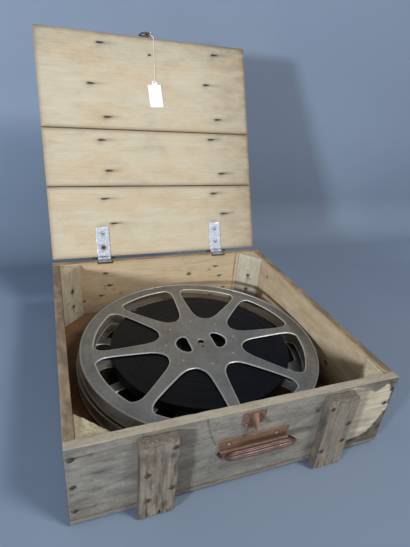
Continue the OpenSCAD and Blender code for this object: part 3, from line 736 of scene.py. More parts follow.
def zinc(name):
    m = new_mat(name)
    loc = scaled(attr("loc"), 1000.0)
    ma = attr("ma", "Color")
    s, hi, lo = rgb_split(ma)
    sp = voronoi(scaled(loc, 0.33), 1.0)
    a = noise_(scaled(loc, 0.25), 1.0, 5, 0.65)
    b = noise_(scaled(loc, 1.6), 1.0, 4, 0.6)
    col = mix(smooth(sp, 0.1, 0.9), srgb(186, 199, 219), srgb(224, 233, 246))
    col = mix(smooth(a, 0.5, 0.7) * 0.5, col, srgb(120, 126, 138))
    col = mix(smooth(b, 0.62, 0.75) * 0.5, col, srgb(84, 80, 80))
    col = mix(clamp01(s * smooth(a, 0.2, 0.6, 0.6, 1.2)), col, srgb(110, 58, 42))
    col = mix(clamp01(lo), col, srgb(36, 33, 34))
    nor = bump_(a * 0.6 + b * 0.4, 0.45, 0.0003)
    return finish_mat(m, col, smooth(b, 0.2, 0.8, 0.34, 0.58), 0.45, nor, spec=0.5)


def plain_metal(name, base, dirt=(60, 54, 46), amount=0.4, metal=0.75, rough=0.45, spin=False, spots=0.3):
    m = new_mat(name)
    loc = scaled(attr("loc"), 1000.0)
    ma = attr("ma", "Color")
    s, hi, lo = rgb_split(ma)
    x, y, z = split(loc)
    r = math_("SQRT", x * x + y * y)
    a = noise_(scaled(loc, 0.02), 1.0, 5, 0.6)
    b = noise_(scaled(loc, 0.13), 1.0, 5, 0.65)
    c = noise_(scaled(loc, 0.8), 1.0, 3, 0.6)
    lines = noise_(join(r * 1.4, 0.0, z * 0.1), 1.0, 4, 0.7) if spin else c
    col = mix(smooth(a, 0.35, 0.65), srgb(*base), srgb(*[k * 0.88 for k in base]))
    col = mix(smooth(lines, 0.35, 0.7) * 0.16, col, srgb(*[min(255, k * 1.16) for k in base]))
    col = mix(smooth(b, 0.52, 0.78) * amount, col, srgb(*dirt))
    fleck = smooth(voronoi(scaled(loc, 0.085), 1.0), 0.0, 0.075, 1.0, 0.0)
    col = mix(fleck * spots, col, srgb(228, 224, 214))
    pit = smooth(voronoi(scaled(loc, 0.15, 0.15, 0.5), 1.0), 0.0, 0.085, 1.0, 0.0) * smooth(b, 0.45, 0.6)
    col = mix(pit * 0.55, col, srgb(56, 48, 40))
    col = mix(clamp01(s * smooth(b, 0.3, 0.6, 0.4, 1.2)) * 0.8, col, srgb(*dirt))
    # hi channel: painted highlights on the flange window edges, weld dots and beads
    col = mix(clamp01(hi) * 0.8, col, srgb(234, 236, 236))
    col = mix(clamp01(lo), col, srgb(26, 23, 20))
    scr = smooth(noise_(scaled(loc, 0.05, 0.9, 1), 1.0, 2, 0.4, 2.5), 0.7, 0.73)
    col = mix(scr * 0.3, col, srgb(200, 200, 196))
    nor = bump_(c * 0.3 + b * 0.7 + lines * 0.3, 0.22, 0.0004)
    return finish_mat(m, col, smooth(b, 0.3, 0.8, rough - 0.06, rough + 0.2), metal, nor, spec=0.45)


def film_mat():
    m = new_mat("film")
    loc = scaled(attr("loc"), 1000.0)
    x, y, z = split(loc)
    r = math_("SQRT", x * x + y * y)
    l1 = noise_(join(r * 0.55, 0.0, 0.0), 1.0, 6, 0.75)
    l2 = noise_(join(r * 3.2, 0.0, 0.0), 1.0, 4, 0.8)
    edge = noise_(join(0.0, z * 2.5, 0.0), 1.0, 2, 0.5)
    a = noise_(scaled(loc, 0.03), 1.0, 4, 0.6)
    col = mix(smooth(l1, 0.3, 0.7), srgb(3, 4, 9), srgb(11, 13, 20))
    col = mix(smooth(l2, 0.56, 0.7) * 0.42, col, srgb(44, 48, 58))
    col = mix(smooth(a, 0.5, 0.8) * 0.15, col, srgb(30, 32, 38))
    fleck = smooth(voronoi(scaled(loc, 0.05), 1.0), 0.0, 0.03, 1.0, 0.0)
    col = mix(fleck * 0.8, col, srgb(170, 170, 170))
    nor = bump_(l1 * 0.7 + l2 * 0.6 + edge * 0.2, 0.8, 0.0005)
    return finish_mat(m, col, smooth(l1, 0.2, 0.8, 0.26, 0.42), 0.0, nor, spec=0.13)


def paper():
    m = new_mat("card")
    loc = scaled(attr("loc"), 1000.0)
    a = noise_(scaled(loc, 0.12), 1.0, 4, 0.6)
    b = noise_(scaled(loc, 4.0), 1.0, 3, 0.7)
    col = mix(smooth(a, 0.4, 0.7) * 0.5, srgb(250, 251, 250), srgb(238, 238, 232))
    return finish_mat(m, col, 0.75, normal=bump_(b, 0.3, 0.00008), spec=0.3)


def cotton():
    m = new_mat("cotton")
    loc = scaled(attr("loc"), 1000.0)
    b = noise_(scaled(loc, 5.0), 1.0, 4, 0.7)
    col = mix(smooth(b, 0.3, 0.7), srgb(222, 218, 208), srgb(252, 250, 244))
    return finish_mat(m, col, 0.9, normal=bump_(b, 0.5, 0.0001), spec=0.15, sheen=0.4)


M_OUT = wood("wall_pine_outside", (157, 154, 147), (124, 115, 100), (131, 128, 121), weather=0.6, ring=3.6, contrast=0.32,
             warm=(142, 129, 108), edge_dark=0.5, dust=0.6, stain=(58, 54, 54), endc=(150, 141, 122), grime=0.42, fleck=0.42)
M_IN = wood("wall_pine_inside", (208, 188, 158), (190, 161, 127), (190, 175, 150), weather=0.2, ring=3.4, contrast=0.22,
            warm=(202, 170, 132), edge_dark=0.5, dust=0.5, stain=(66, 54, 44), endc=(176, 160, 132), grime=0.2, fleck=0.1)
M_LID = wood("lid_pine", (205, 196, 175), (191, 170, 134), (190, 180, 154), weather=0.1, ring=4.4, contrast=0.26,
             warm=(198, 170, 130), edge_dark=0.6, dust=0.12, stain=(58, 52, 48), endc=(196, 176, 144), blotch=0.42, fleck=0.09)
M_BAT = wood("batten_wood", (152, 143, 128), (116, 103, 88), (137, 132, 124), weather=0.5, ring=2.4, contrast=0.42,
             warm=(134, 108, 84), edge_dark=0.35, dust=0.5, stain=(60, 52, 48), endc=(124, 116, 106), relief=1.7, rough=0.78, grime=0.4, fleck=0.42)
M_FLOOR = wood("floor_pine", (128, 92, 62), (98, 64, 40), (96, 78, 60), weather=0.25, ring=3.0, contrast=0.5,
               warm=(130, 88, 58), edge_dark=0.3, dust=0.6, endc=(160, 140, 110))
M_BLOCK = wood("block_wood", (212, 204, 182), (192, 179, 152), (188, 180, 160), weather=0.3, ring=2.2, contrast=0.25,
               warm=(190, 168, 134), edge_dark=0.2, dust=0.3, stain=(40, 34, 30), endc=(196, 184, 150), relief=1.5)
M_NAIL = rusty("nail_steel", (84, 77, 71), rust=(84, 68, 56), dark=(50, 42, 38), amount=0.6, metal=0.7, rough=0.5, light=(168, 162, 156))
M_RUST = rusty("rusty_steel", (140, 114, 98), rust=(122, 92, 76), dark=(56, 38, 30), amount=0.65, metal=0.35, rough=0.5,
               light=(206, 172, 148), worn=0.25)
M_WIRE = rusty("wire_steel", (78, 66, 62), rust=(96, 66, 54), dark=(36, 28, 26), amount=0.5, metal=0.6, rough=0.45, light=(150, 138, 134))
M_GRIP = rusty("grip_sheet", (108, 88, 85), rust=(100, 72, 65), dark=(44, 32, 30), amount=0.45, metal=0.45, rough=0.4,
               light=(196, 174, 168), worn=0.3, scale=0.8)
M_ZINC = zinc("zinc_steel")
M_FLANGE = plain_metal("flange_metal", (144, 144, 140), dirt=(88, 80, 68), amount=0.4, metal=0.7, rough=0.43, spin=False)
M_HUB = plain_metal("hub_metal", (112, 110, 106), dirt=(52, 46, 40), amount=0.6, metal=0.6, rough=0.55)
M_FILM = film_mat()
M_CARD = paper()
M_COTTON = cotton()


# ------------------------------------------------------------ wooden pieces
def own(ob, nodes, body):
    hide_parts(*([nodes] if isinstance(nodes, str) else nodes))
    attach(ob, body)
    return ob


def grooves(a, b, lines):
    """lines: (points, half width, depth, fade at the far end)"""
    d = np.zeros(np.shape(a))
    for pts, w, dep, fade in lines:
        dist, way = line_dist(a, b, pts)
        taper = 1 - fade * way
        d = np.maximum(d, dep * taper * np.exp(-(dist / (w * (0.4 + 0.6 * taper))) ** 2))
    return d


def region(a, b, loop, ragged=2.0, seed=1, soft=1.2):
    """1 inside a given loop with a ragged edge, and the distance to its edge"""
    loop = np.asarray(loop, float)
    wa = a + ragged * fbm(a / 5.5, b / 4.0, 0, seed, 3)
    wb = b + ragged * fbm(a / 6.5, b / 3.2, 7, seed + 1, 3)
    pts = np.stack([wa, wb], 1)
    d = loop_dist(pts, loop)
    s = np.where(inside(pts, loop), d, -d)
    return sstep(s, -soft, soft), s


FRONT_NAILS = [(-129, 70), (-99.5, 104), (-128, 28), (-101, 40), (98, 104), (130, 72), (100, 30), (129, 42)]
BACK_NAILS = [(-119, 96), (-111, 69), (-128, 48), (-98, 26), (106, 92), (118, 69), (129, 40), (100, 24)]
CORNER_FRONT = [(-204, 103), (-204, 62), (-204, 23), (204, 100), (200, 75.5), (204, 30)]
CORNER_BACK = [(-204, 98), (-204, 60), (-204, 22), (204, 101), (204, 64), (204, 25)]
LID_LEFT = [(-99, 401), (-121, 326), (-95, 266), (-109, 223), (-99, 166), (-112, 113), (-97, 66)]
LID_RIGHT = [(129, 400), (108, 339), (130, 271), (112, 230), (132, 161), (112, 120), (132, 78)]
HINGE_X = (-116.0, 113.5)
CATCH_X = -2.3
HASP_HOLES = [(CATCH_X, 387), (CATCH_X - 7, 404), (CATCH_X + 7, 404)]


# front wall: a = X from the left end, b = height above its lower edge
FRONT_CRACKS = [([(0, 96.7), (7, 97.5), (15, 97.1), (25.5, 97.9)], 0.55, 2.6, 0.5),
                ([(0, 16.2), (10, 15.6), (18, 16.1), (27.5, 15.7)], 0.5, 2.4, 0.5),
                ([(420, 103), (410, 102.6), (398, 101.9), (382.7, 101.5)], 0.5, 2.2, 0.7),
                ([(420, 13.6), (408, 14.3), (390, 14.8)], 0.5, 2.0, 0.6),
                ([(197.5, 90.6), (182, 91.2), (170, 90.9), (157.8, 91.3)], 0.4, 0.8, 0.6),
                ([(420, 66), (412, 66.5), (404, 67.4)], 0.4, 1.4, 0.5)]
PATCH = [(331, 112), (351, 109.5), (386, 94.5), (398, 99), (407, 105), (415, 88), (418.5, 60), (412, 43), (405, 29),
         (395.5, 15.5), (380, 11), (366, 9.5), (343, 7), (336, 30), (342, 70)]


def front_sculpt(a, b, c, side):
    f = side["c0"].astype(float)
    d = f * grooves(a, b, FRONT_CRACKS)
    d += (side["a0"] | side["a1"]) * grooves(c, b, [([(0, 97), (6, 98)], 0.6, 1.6, 0.6), ([(0, 16), (6, 15)], 0.6, 1.6, 0.6)])
    ins, s = region(a, b, PATCH, 2.0, 31)
    d += f * 0.42 * ins
    # knocks along the upper edge
    top = side["b1"] | (b > 108)
    d += top * 0.7 * np.clip(fbm(a / 9, c / 5, 0, 77, 3) - 0.25, 0, 1)
    return d


def front_paint(a, b, c, side):
    f = side["c0"].astype(float)
    ins, s = region(a, b, PATCH, 2.0, 31)
    n = fbm(a / 30, b / 9, 0, 41, 3)
    rim = np.exp(-((s + 1.6) / 2.0) ** 2) * sstep(a - 0.75 * b, 305, 345) * (0.6 + 0.6 * fbm(a / 6, b / 5, 2, 43, 2))
    streak = sstep(fbm(a / 60, b / 3.2, 0, 45, 3), -0.25, 0.5)
    fresh = f * ins * (0.62 + 0.38 * streak) * sstep(a, 338, 352)
    cr = grooves(a, b, FRONT_CRACKS)
    dark = f * np.clip(cr / 1.6, 0, 1) ** 0.7
    stain = f * (0.85 * spot(a, b, 25.5, 98, 2.6, 2.2) + 0.8 * spot(a, b, 27.5, 15.6, 2.6, 2.0) + 0.7 * spot(a, b, 6, 98, 3.2, 2.6)
                 + 0.55 * spot(a, b, 32, 69.6, 12, 1.7, 3) + 0.5 * spot(a, b, 4, 43, 4, 2.2) + 0.6 * spot(a, b, 6, 55, 3.4, 2.8)
                 + 0.5 * spot(a, b, 52, 47, 10, 1.6, 8) + 0.35 * spot(a, b, 66, 92, 12, 2.0, -5) + 0.6 * spot(a, b, 410, 68.5, 4, 3))
    stain += f * rim * 1.5
    stain += f * (0.5 * spot(a, b, 404, 12, 16, 7, 12) + 0.45 * spot(a, b, 372, 8, 14, 5) + 0.4 * spot(a, b, 12, 30, 16, 2.4, 6) + 0.35 * spot(a, b, 40, 84, 16, 2.0, -4))
    stain += f * (0.6 * spot(a, b, 15, 97, 14, 1.6, 2) + 0.6 * spot(a, b, 18, 14.5, 16, 1.5, 2) + 0.45 * spot(a, b, 37, 67, 13, 3, 6) + 0.35 * spot(a, b, 30, 44, 10, 3.5, 4))
    # grey washed streaks and rust runs below the metal
    stain += f * 0.18 * sstep(n, 0.15, 0.7)
    for x0 in (179, 243):
        stain += f * 0.35 * spot(a, b, x0, 52, 5, 12)
    stain += f * 0.4 * spot(a, b, 208, 74, 15, 12)
    dist, way = line_dist(a, b, [(149.7, 113.7), (151, 104), (154.6, 91), (159.3, 76.5), (164, 66.7)])
    stain += f * 0.8 * np.exp(-(dist / 0.75) ** 2)
    dist, way = line_dist(a, b, [(262, 98), (275, 95), (290, 96)])
    stain += f * 0.4 * np.exp(-(dist / 0.8) ** 2)
    low = f * np.exp(-b / 7.0) * 0.35
    rimtop = side["b1"] * (0.12 + 0.3 * fbm(a / 26, c / 5, 0, 47, 3))
    fresh = fresh + side["b1"] * 0.42 + f * 0.1 * sstep(fbm(a / 38, b / 16, 2, 53, 3), -0.1, 0.5) * sstep(a, 120, 170)
    low = low + f * 0.16 * sstep(a, 120, 20) + f * 0.7 * sstep(a, 356, 396) * (1 - ins)
    return {"stain": stain, "fresh": fresh, "dark": dark, "dirt": low + rimtop + f * 0.25 * sstep(fbm(a / 45, b / 24, 3, 49, 3), 0.1, 0.7)}


own(board("front_wall", 420, 112, 12, lambda p: crate(np.stack([p[:, 0] - W2, p[:, 2], p[:, 1] + 7], 1)), M_OUT, 11,
          step=2.0, pith=(40, -46), rough=0.16, wave=0.35, edge=(0.6, 1.1), mat2=M_IN, faces2=("c1",),
          fine_b=[(13.4, 17.6, 0.42), (66, 69, 0.5), (89.8, 92, 0.45), (95.6, 98.8, 0.42), (100.6, 103.8, 0.42)],
          fine_a=[(148, 166, 0.9)], knots=[(92, 30, 5, 3.6), (300, 84, 4, 3)], sculpt=front_sculpt, paint=front_paint),
    "front_wall", "crate")


def back_sculpt(a, b, c, side):
    d = np.zeros(len(a))
    for hx in HINGE_X:
        x0, x1 = hx + W2 - 13.5, hx + W2 + 13.5
        d += 1.55 * ((a > x0) & (a < x1) & (b > 109) & (c < 11.3) & side["b1"])
    d += side["c1"] * grooves(a, b, [([(364, 0), (364.5, 40), (363.6, 70), (364, 112)], 0.5, 0.9, 0.0)])
    return d


def back_paint(a, b, c, side):
    f = side["c1"].astype(float)
    dark = np.zeros(len(a))
    # dark mask: the edges of the hinge recesses in the rim, painted shade
    for hx in HINGE_X:
        x0, x1 = hx + W2 - 13.7, hx + W2 + 13.7
        dark = np.maximum(dark, 0.85 * ((a > x0) & (a < x1) & (b > 108.5) & (c > 10.2)))
    marks = 0
    for x, z in ((328, 69), (91, 96), (99, 69), (122, 48), (108, 58), (306, 84), (316, 40)):
        marks = marks + 0.85 * spot(a, b, x, z - 7, 3.4, 1.5, 10)
    for x, z in ((91, 60), (92.5, 63.5), (91, 67)):
        marks = marks + 0.8 * spot(a, b, x, z - 7, 3.2, 0.7, 4)
    seam = np.exp(-((a - 364) / 0.7) ** 2) * 0.7
    # the inner face darker towards its lower left and towards the bottom
    lowleft = sstep(b + 0.28 * a, 88, 24) * 0.34
    run = 0.1 * sstep(fbm(a / 40, b / 6, 1, 61, 3), 0.1, 0.7)
    rim = side["b1"] * (0.55 + 0.4 * fbm(a / 24, c / 5, 0, 63, 3))
    return {"stain": f * (marks + run + 0.35 * lowleft) + 0.3 * rim, "dirt": f * (lowleft + 0.35 * np.exp(-b / 14.0)) + rim,
            "dark": np.clip(dark + f * seam, 0, 1)}


def recess_lines():
    out = []
    for hx in HINGE_X:
        for e in (hx + W2 - 13.5, hx + W2 + 13.5):
            out.append((e - 0.12, e + 0.12, 0.24))
    return out


own(board("back_wall", 420, 112, 12, lambda p: crate(np.stack([p[:, 0] - W2, D - p[:, 2], p[:, 1] + 7], 1)), M_OUT, 12,
          step=2.2, pith=(60, 66), rough=0.12, wave=0.3, edge=(0.5, 0.9), mat2=M_IN, faces2=("c1", "b1"),
          fine_a=recess_lines() + [(363, 365.4, 0.4)], knots=[(262, 71, 6, 4.4), (52, 30, 4, 3)], sculpt=back_sculpt, paint=back_paint),
    "back_wall", "crate")


def side_paint(seed, painted_lower_shade):
    def paint(a, b, c, side):
        f, o, top = side["c1"].astype(float), side["c0"].astype(float), side["b1"].astype(float)
        n = fbm(a / 34, b / 8, 0, seed, 3)
        st = f * (0.12 * sstep(n, 0.05, 0.7)) + o * 0.4 * sstep(n, 0.0, 0.7)
        for i in range(7):
            x, z = (37 * (i + 1) * seed) % 380 + 8, (53 * (i + 2) * seed) % 96 + 8
            st = st + (0.3 * f + o) * 0.45 * spot(a, b, x, z, 9 + i, 1.5, (seed * 7 + i * 13) % 20 - 10)
        # dirt mask: the inner face darker towards the bottom, painted shade on the lower part of the inner face
        # (strongest on the left wall), the right wall's inner face a little darker overall, and dirt on the rim tops
        dirt = f * (0.5 * np.exp(-b / 16.0) + painted_lower_shade * sstep(b, 70, 10) * 0.4 + (0.26 if seed == 23 else 0)) + top * (0.9 + 0.25 * fbm(a / 25, c / 5, 1, seed + 1, 3))
        # dark mask: a dark band along the foot of the inner face, painted shade in the corner with the floor
        return {"stain": st, "dirt": dirt + o * 0.25, "dark": f * 0.5 * np.exp(-b / 5.0)}
    return paint


def side_sculpt(seed):
    def sculpt(a, b, c, side):
        top = side["b1"] | (b > 108)
        d = top * 0.6 * np.clip(fbm(a / 10, c / 5, 0, seed, 3) - 0.25, 0, 1)
        d += side["c0"] * grooves(a, b, [([(0, 40), (20, 41.5), (46, 41)], 0.6, 1.4, 0.7), ([(396, 82), (370, 83), (352, 82.4)], 0.6, 1.4, 0.7)])
        return d
    return sculpt


own(board("left_wall", 396, 112, 12, lambda p: crate(np.stack([p[:, 2] - W2, p[:, 0] + 12, p[:, 1] + 7], 1)), M_OUT, 13,
          step=2.3, pith=(70, -50), rough=0.12, wave=0.3, mat2=M_IN, faces2=("c1", "b1"), fine_b=[(39.5, 42.5, 0.5), (81, 84, 0.5)],
          knots=[(240, 60, 6, 4)], sculpt=side_sculpt(83), paint=side_paint(17, 0.9)), "left_wall", "crate")
own(board("right_wall", 396, 112, 12, lambda p: crate(np.stack([W2 - p[:, 2], p[:, 0] + 12, p[:, 1] + 7], 1)), M_OUT, 14,
          step=2.3, pith=(30, -40), rough=0.12, wave=0.3, mat2=M_IN, faces2=("c1", "b1"), fine_b=[(39.5, 42.5, 0.5), (81, 84, 0.5)],
          knots=[(110, 40, 5, 4), (330, 84, 4, 3)], sculpt=side_sculpt(85), paint=side_paint(23, 0.3)), "right_wall", "crate")


# bottom boards
def floor_paint(seed):
    def paint(a, b, c, side):
        f = side["c1"].astype(float)
        n = fbm(a / 40, b / 12, 0, seed, 3)
        front = side["b0"].astype(float)
        return {"stain": f * 0.35 * sstep(n, 0.1, 0.7) + side["c0"] * 0.3 * sstep(n, 0, 0.6), "dirt": f * (0.25 + 0.3 * sstep(n, -0.2, 0.5)) + side["c0"] * 0.5 + front * 0.15}
    return paint


for nm, y0, y1, sd in (("bottom_board_front", 0, 138.6, 21), ("bottom_board_middle", 139.6, 281, 22), ("bottom_board_back", 282, 420, 23)):
    own(board(nm, 420, y1 - y0, 7, lambda p, y0=y0: crate(np.stack([p[:, 0] - W2, p[:, 1] + y0, p[:, 2]], 1)), M_FLOOR, sd, step=2.8,
              edge=(0.3, 0.7), rough=0.14, wave=0.25, mat2=M_OUT, faces2=("b0", "b1", "a0", "a1", "c0"), paint=floor_paint(sd * 3),
              knots=[(90 + 70 * (sd - 20), 60, 6, 4.5)]), nm, "crate")

for s, nm in ((-1, "bottom_runner_left"), (1, "bottom_runner_right")):
    own(board(nm, 416, 43, 5, lambda p, s=s: crate(np.stack([p[:, 1] + s * 116 - 21.5, p[:, 0] + 2, p[:, 2] - 5], 1)), M_BAT, 31 + s, step=3.0,
              edge=(0.4, 0.8), rough=0.2, wave=0.3,
              paint=lambda a, b, c, side: {"dirt": 0.4 * sstep(fbm(a / 30, b / 9, 0, 5, 3), -0.2, 0.6), "stain": side["c0"] * 0.3}),
        nm, "crate")


# wall battens: a = height above the foot, b across, c from the outer face to the wall
def batten_shape(seed, L, T, top_bevel, splits):
    def outline(P, a, b, c):
        k = np.clip((3.0 - c) / 3.0, 0, 1)
        lo = np.clip(1 - a / 10, 0, 1)
        hi = np.clip(1 - (L - a) / 12, 0, 1)
        P = P.copy()
        P[:, 0] += lo * k * 2.6 * (0.7 + 0.5 * fbm(b / 7, c / 5, 0, seed, 2)) - hi * k * top_bevel * (0.7 + 0.5 * fbm(b / 6, c / 5, 1, seed, 2))
        P[:, 0] += lo * np.clip(1.6 * fbm(b / 8, c / 9, 2, seed + 3, 3), 0, 2) - hi * np.clip(1.2 * fbm(b / 7, c / 8, 3, seed + 4, 3), 0, 1.4)
        return P

    def sculpt(a, b, c, side):
        f = side["c0"].astype(float)
        d = f * grooves(a, b, splits)
        e = (side["a0"] | side["a1"]).astype(float)
        d = d + e * 0.9 * np.clip(fbm(b / 2.0, c / 6, a, seed + 5, 3) + 0.1, 0, 1)
        d = d + f * 0.5 * np.clip(fbm(a / 30, b / 2.4, 0, seed + 6, 3) - 0.1, 0, 1)
        return d

    return outline, sculpt


LB_SPLIT = [([(0, 9), (8, 9.6), (17, 9.0), (26, 10.2)], 0.8, 3.2, 0.9), ([(0, 25), (7, 24), (14, 24.6)], 0.9, 3.5, 0.8),
            ([(0, 33), (10, 33.6), (21, 32.8)], 0.6, 2.4, 0.9), ([(120.5, 17), (110, 17.8), (98, 17.2)], 0.6, 2.0, 0.9),
            ([(120.5, 38.5), (112, 38), (102, 38.4)], 0.5, 1.6, 0.9), ([(40, 14), (60, 13.2), (84, 14.4)], 0.4, 0.9, 0.9)]
RB_SPLIT = [([(0, 7), (9, 7.8), (16, 7.2)], 0.9, 3.6, 0.8), ([(0, 19), (8, 18.4), (22, 19.3), (30, 18.8)], 0.7, 2.8, 0.9),
            ([(0, 31), (6, 30.2), (13, 31)], 1.0, 3.5, 0.7), ([(120.5, 12), (111, 12.6), (100, 12)], 0.6, 2.0, 0.9),
            ([(120.5, 28), (113, 28.8), (96, 28)], 0.5, 1.8, 0.9), ([(52, 30), (70, 29.2), (92, 30)], 0.4, 0.9, 0.9)]


def batten_paint(seed, nails, extra):
    def paint(a, b, c, side):
        f = side["c0"].astype(float)
        sd = (side["b0"] | side["b1"]).astype(float)
        n = fbm(a / 26, b / 4, c / 5, seed, 3)
        st = 0.5 * sstep(n, 0.0, 0.7) + 0.2 * sstep(fbm(a / 9, b / 7, c / 6, seed + 1, 3), 0.2, 0.7)
        for (x, z) in nails:
            st = st + f * (0.3 * spot(a, b, z + 6, x, 4.5, 3.6) + 0.2 * spot(a, b, z - 2, x, 12, 3))
        for (za, xb, ra, rb) in extra:
            st = st + f * 0.8 * spot(a, b, za, xb, ra, rb)
        dk = f * np.clip(grooves(a, b, LB_SPLIT if seed % 2 else RB_SPLIT) / 2.0, 0, 1) * 0.9
        if seed % 2 == 0:
            st = st * 0.4
        top = 1 - 0.75 * sstep(a, 98, 114)
        # dark mask: the left side face of each batten darkened, painted shade
        dk = np.maximum(dk, side["b0"] * (0.42 + 0.3 * fbm(a / 14, c / 6, 2, seed + 3, 2)))
        return {"stain": st * top, "dirt": ((0.56 if seed % 2 else 0.0) * sstep(n, -0.3, 0.4) + sd * 0.3) * top, "dark": dk}
    return paint


for nm, xm, spl, seed, idx in (("front_batten_left", -116, LB_SPLIT, 41, (0, 1, 2, 3)), ("front_batten_right", 117, RB_SPLIT, 42, (4, 5, 6, 7))):
    ol, sc = batten_shape(seed, 120.5, 14, 3.2, spl)
    nl = [(FRONT_NAILS[i][0] - (xm - 21.5), FRONT_NAILS[i][1]) for i in idx]
    own(board(nm, 120.5, 43, 14, lambda p, xm=xm: crate(np.stack([p[:, 1] + xm - 21.5, p[:, 2] - 14, p[:, 0] - 6], 1)), M_BAT, seed, step=1.15,
              edge=(0.8, 1.6), rough=0.42, wave=0.5, pith=(8, 30), outline=ol, sculpt=sc,
              paint=batten_paint(seed, nl, [(20, 30, 6, 5), (98, 36, 5, 4)] if seed == 41 else [(16, 9, 7, 6), (88, 30, 5, 3), (66, 9, 15, 5), (108, 12, 8, 5), (38, 15, 10, 4), (60, 34, 12, 3)])),
        nm, "crate")


def back_batten(nm, xm, hx, seed):
    L = 123.5

    def outline(P, a, b, c):
        x = b + xm - 21.5
        w = sstep(x, hx - 13.9, hx - 13.3) * (1 - sstep(x, hx + 13.3, hx + 13.9))
        y = c
        dip = np.where(y < 3.3, 2.35, np.where(y < 6.9, np.maximum(0, 117.5 - (119.05 - np.sqrt(np.maximum(0, 3.9 ** 2 - (y - 3.3) ** 2)))), 0))
        k = np.clip((a - (L - 12)) / 12, 0, 1)
        P = P.copy()
        P[:, 0] -= k * w * dip
        lo = np.clip(1 - a / 10, 0, 1)
        P[:, 0] += lo * np.clip(1.2 * fbm(b / 8, c / 9, 2, seed + 3, 3), 0, 1.6)
        return P

    def sculpt(a, b, c, side):
        return (side["a0"] | side["a1"]) * 0.35 * np.clip(fbm(b / 2.0, c / 6, a, seed + 5, 3) + 0.1, 0, 1)

    nl = [(x - (xm - 21.5), z) for x, z in BACK_NAILS if abs(x - xm) < 22]
    own(board(nm, L, 43, 14, lambda p: crate(np.stack([p[:, 1] + xm - 21.5, p[:, 2] + D, p[:, 0] - 6], 1)), M_BAT, seed, step=1.5,
              edge=(0.6, 1.0), rough=0.3, wave=0.35, outline=outline, sculpt=sculpt,
              fine_b=[(hx - 14 - xm + 21.5, hx - 13.2 - xm + 21.5, 0.4), (hx + 13.2 - xm + 21.5, hx + 14 - xm + 21.5, 0.4)],
              fine_c=[(2, 7.4, 0.7)],
              paint=lambda a, b, c, side: {"stain": 0.45 * sstep(fbm(a / 26, b / 4, c / 5, seed, 3), 0.0, 0.65)
                                           + side["c1"] * sum(0.6 * spot(a, b, z + 6, x, 6, 4) for x, z in nl),
                                           "dirt": 0.35 * sstep(fbm(a / 20, b / 9, 0, seed + 2, 3), -0.2, 0.5)}),
        nm, "crate")


back_batten("back_batten_left", -116.0, HINGE_X[0], 43)
back_batten("back_batten_right", 117.0, HINGE_X[1], 44)


# corner blocks: rough sawn triangular prisms
def round_loop(poly, r, step):
    """a polygon with rounded corners, sampled about every step"""
    poly = np.asarray(poly, float)
    n = len(poly)
    rs = [r] * n if np.isscalar(r) else r
    segs = []
    for i in range(n):
        p, q, t = poly[i - 1], poly[i], poly[(i + 1) % n]
        u, v = (p - q) / np.linalg.norm(p - q), (t - q) / np.linalg.norm(t - q)
        ri = rs[i]
        if ri <= 0:
            segs.append(q[None])
            continue
        half = math.acos(max(-1, min(1, u @ v))) / 2
        cut = min(ri / math.tan(half), 0.45 * min(np.linalg.norm(p - q), np.linalg.norm(t - q)))
        a0, a1 = q + u * cut, q + v * cut
        k = max(3, int(math.ceil(ri * (math.pi - 2 * half) / max(step * 0.6, 0.15))))
        tt = np.linspace(0, 1, k)[:, None]
        segs.append((1 - tt) ** 2 * a0 + 2 * tt * (1 - tt) * (q * 0.72 + 0.28 * (a0 + a1) / 2) + tt ** 2 * a1)
    out = []
    for i in range(n):
        out.append(segs[i])
        p, q = segs[i][-1], segs[(i + 1) % n][0]
        k = int(np.linalg.norm(q - p) / step)
        if k > 1:
            tt = np.linspace(0, 1, k + 1)[1:-1, None]
            out.append(p * (1 - tt) + q * tt)
    return np.concatenate(out)


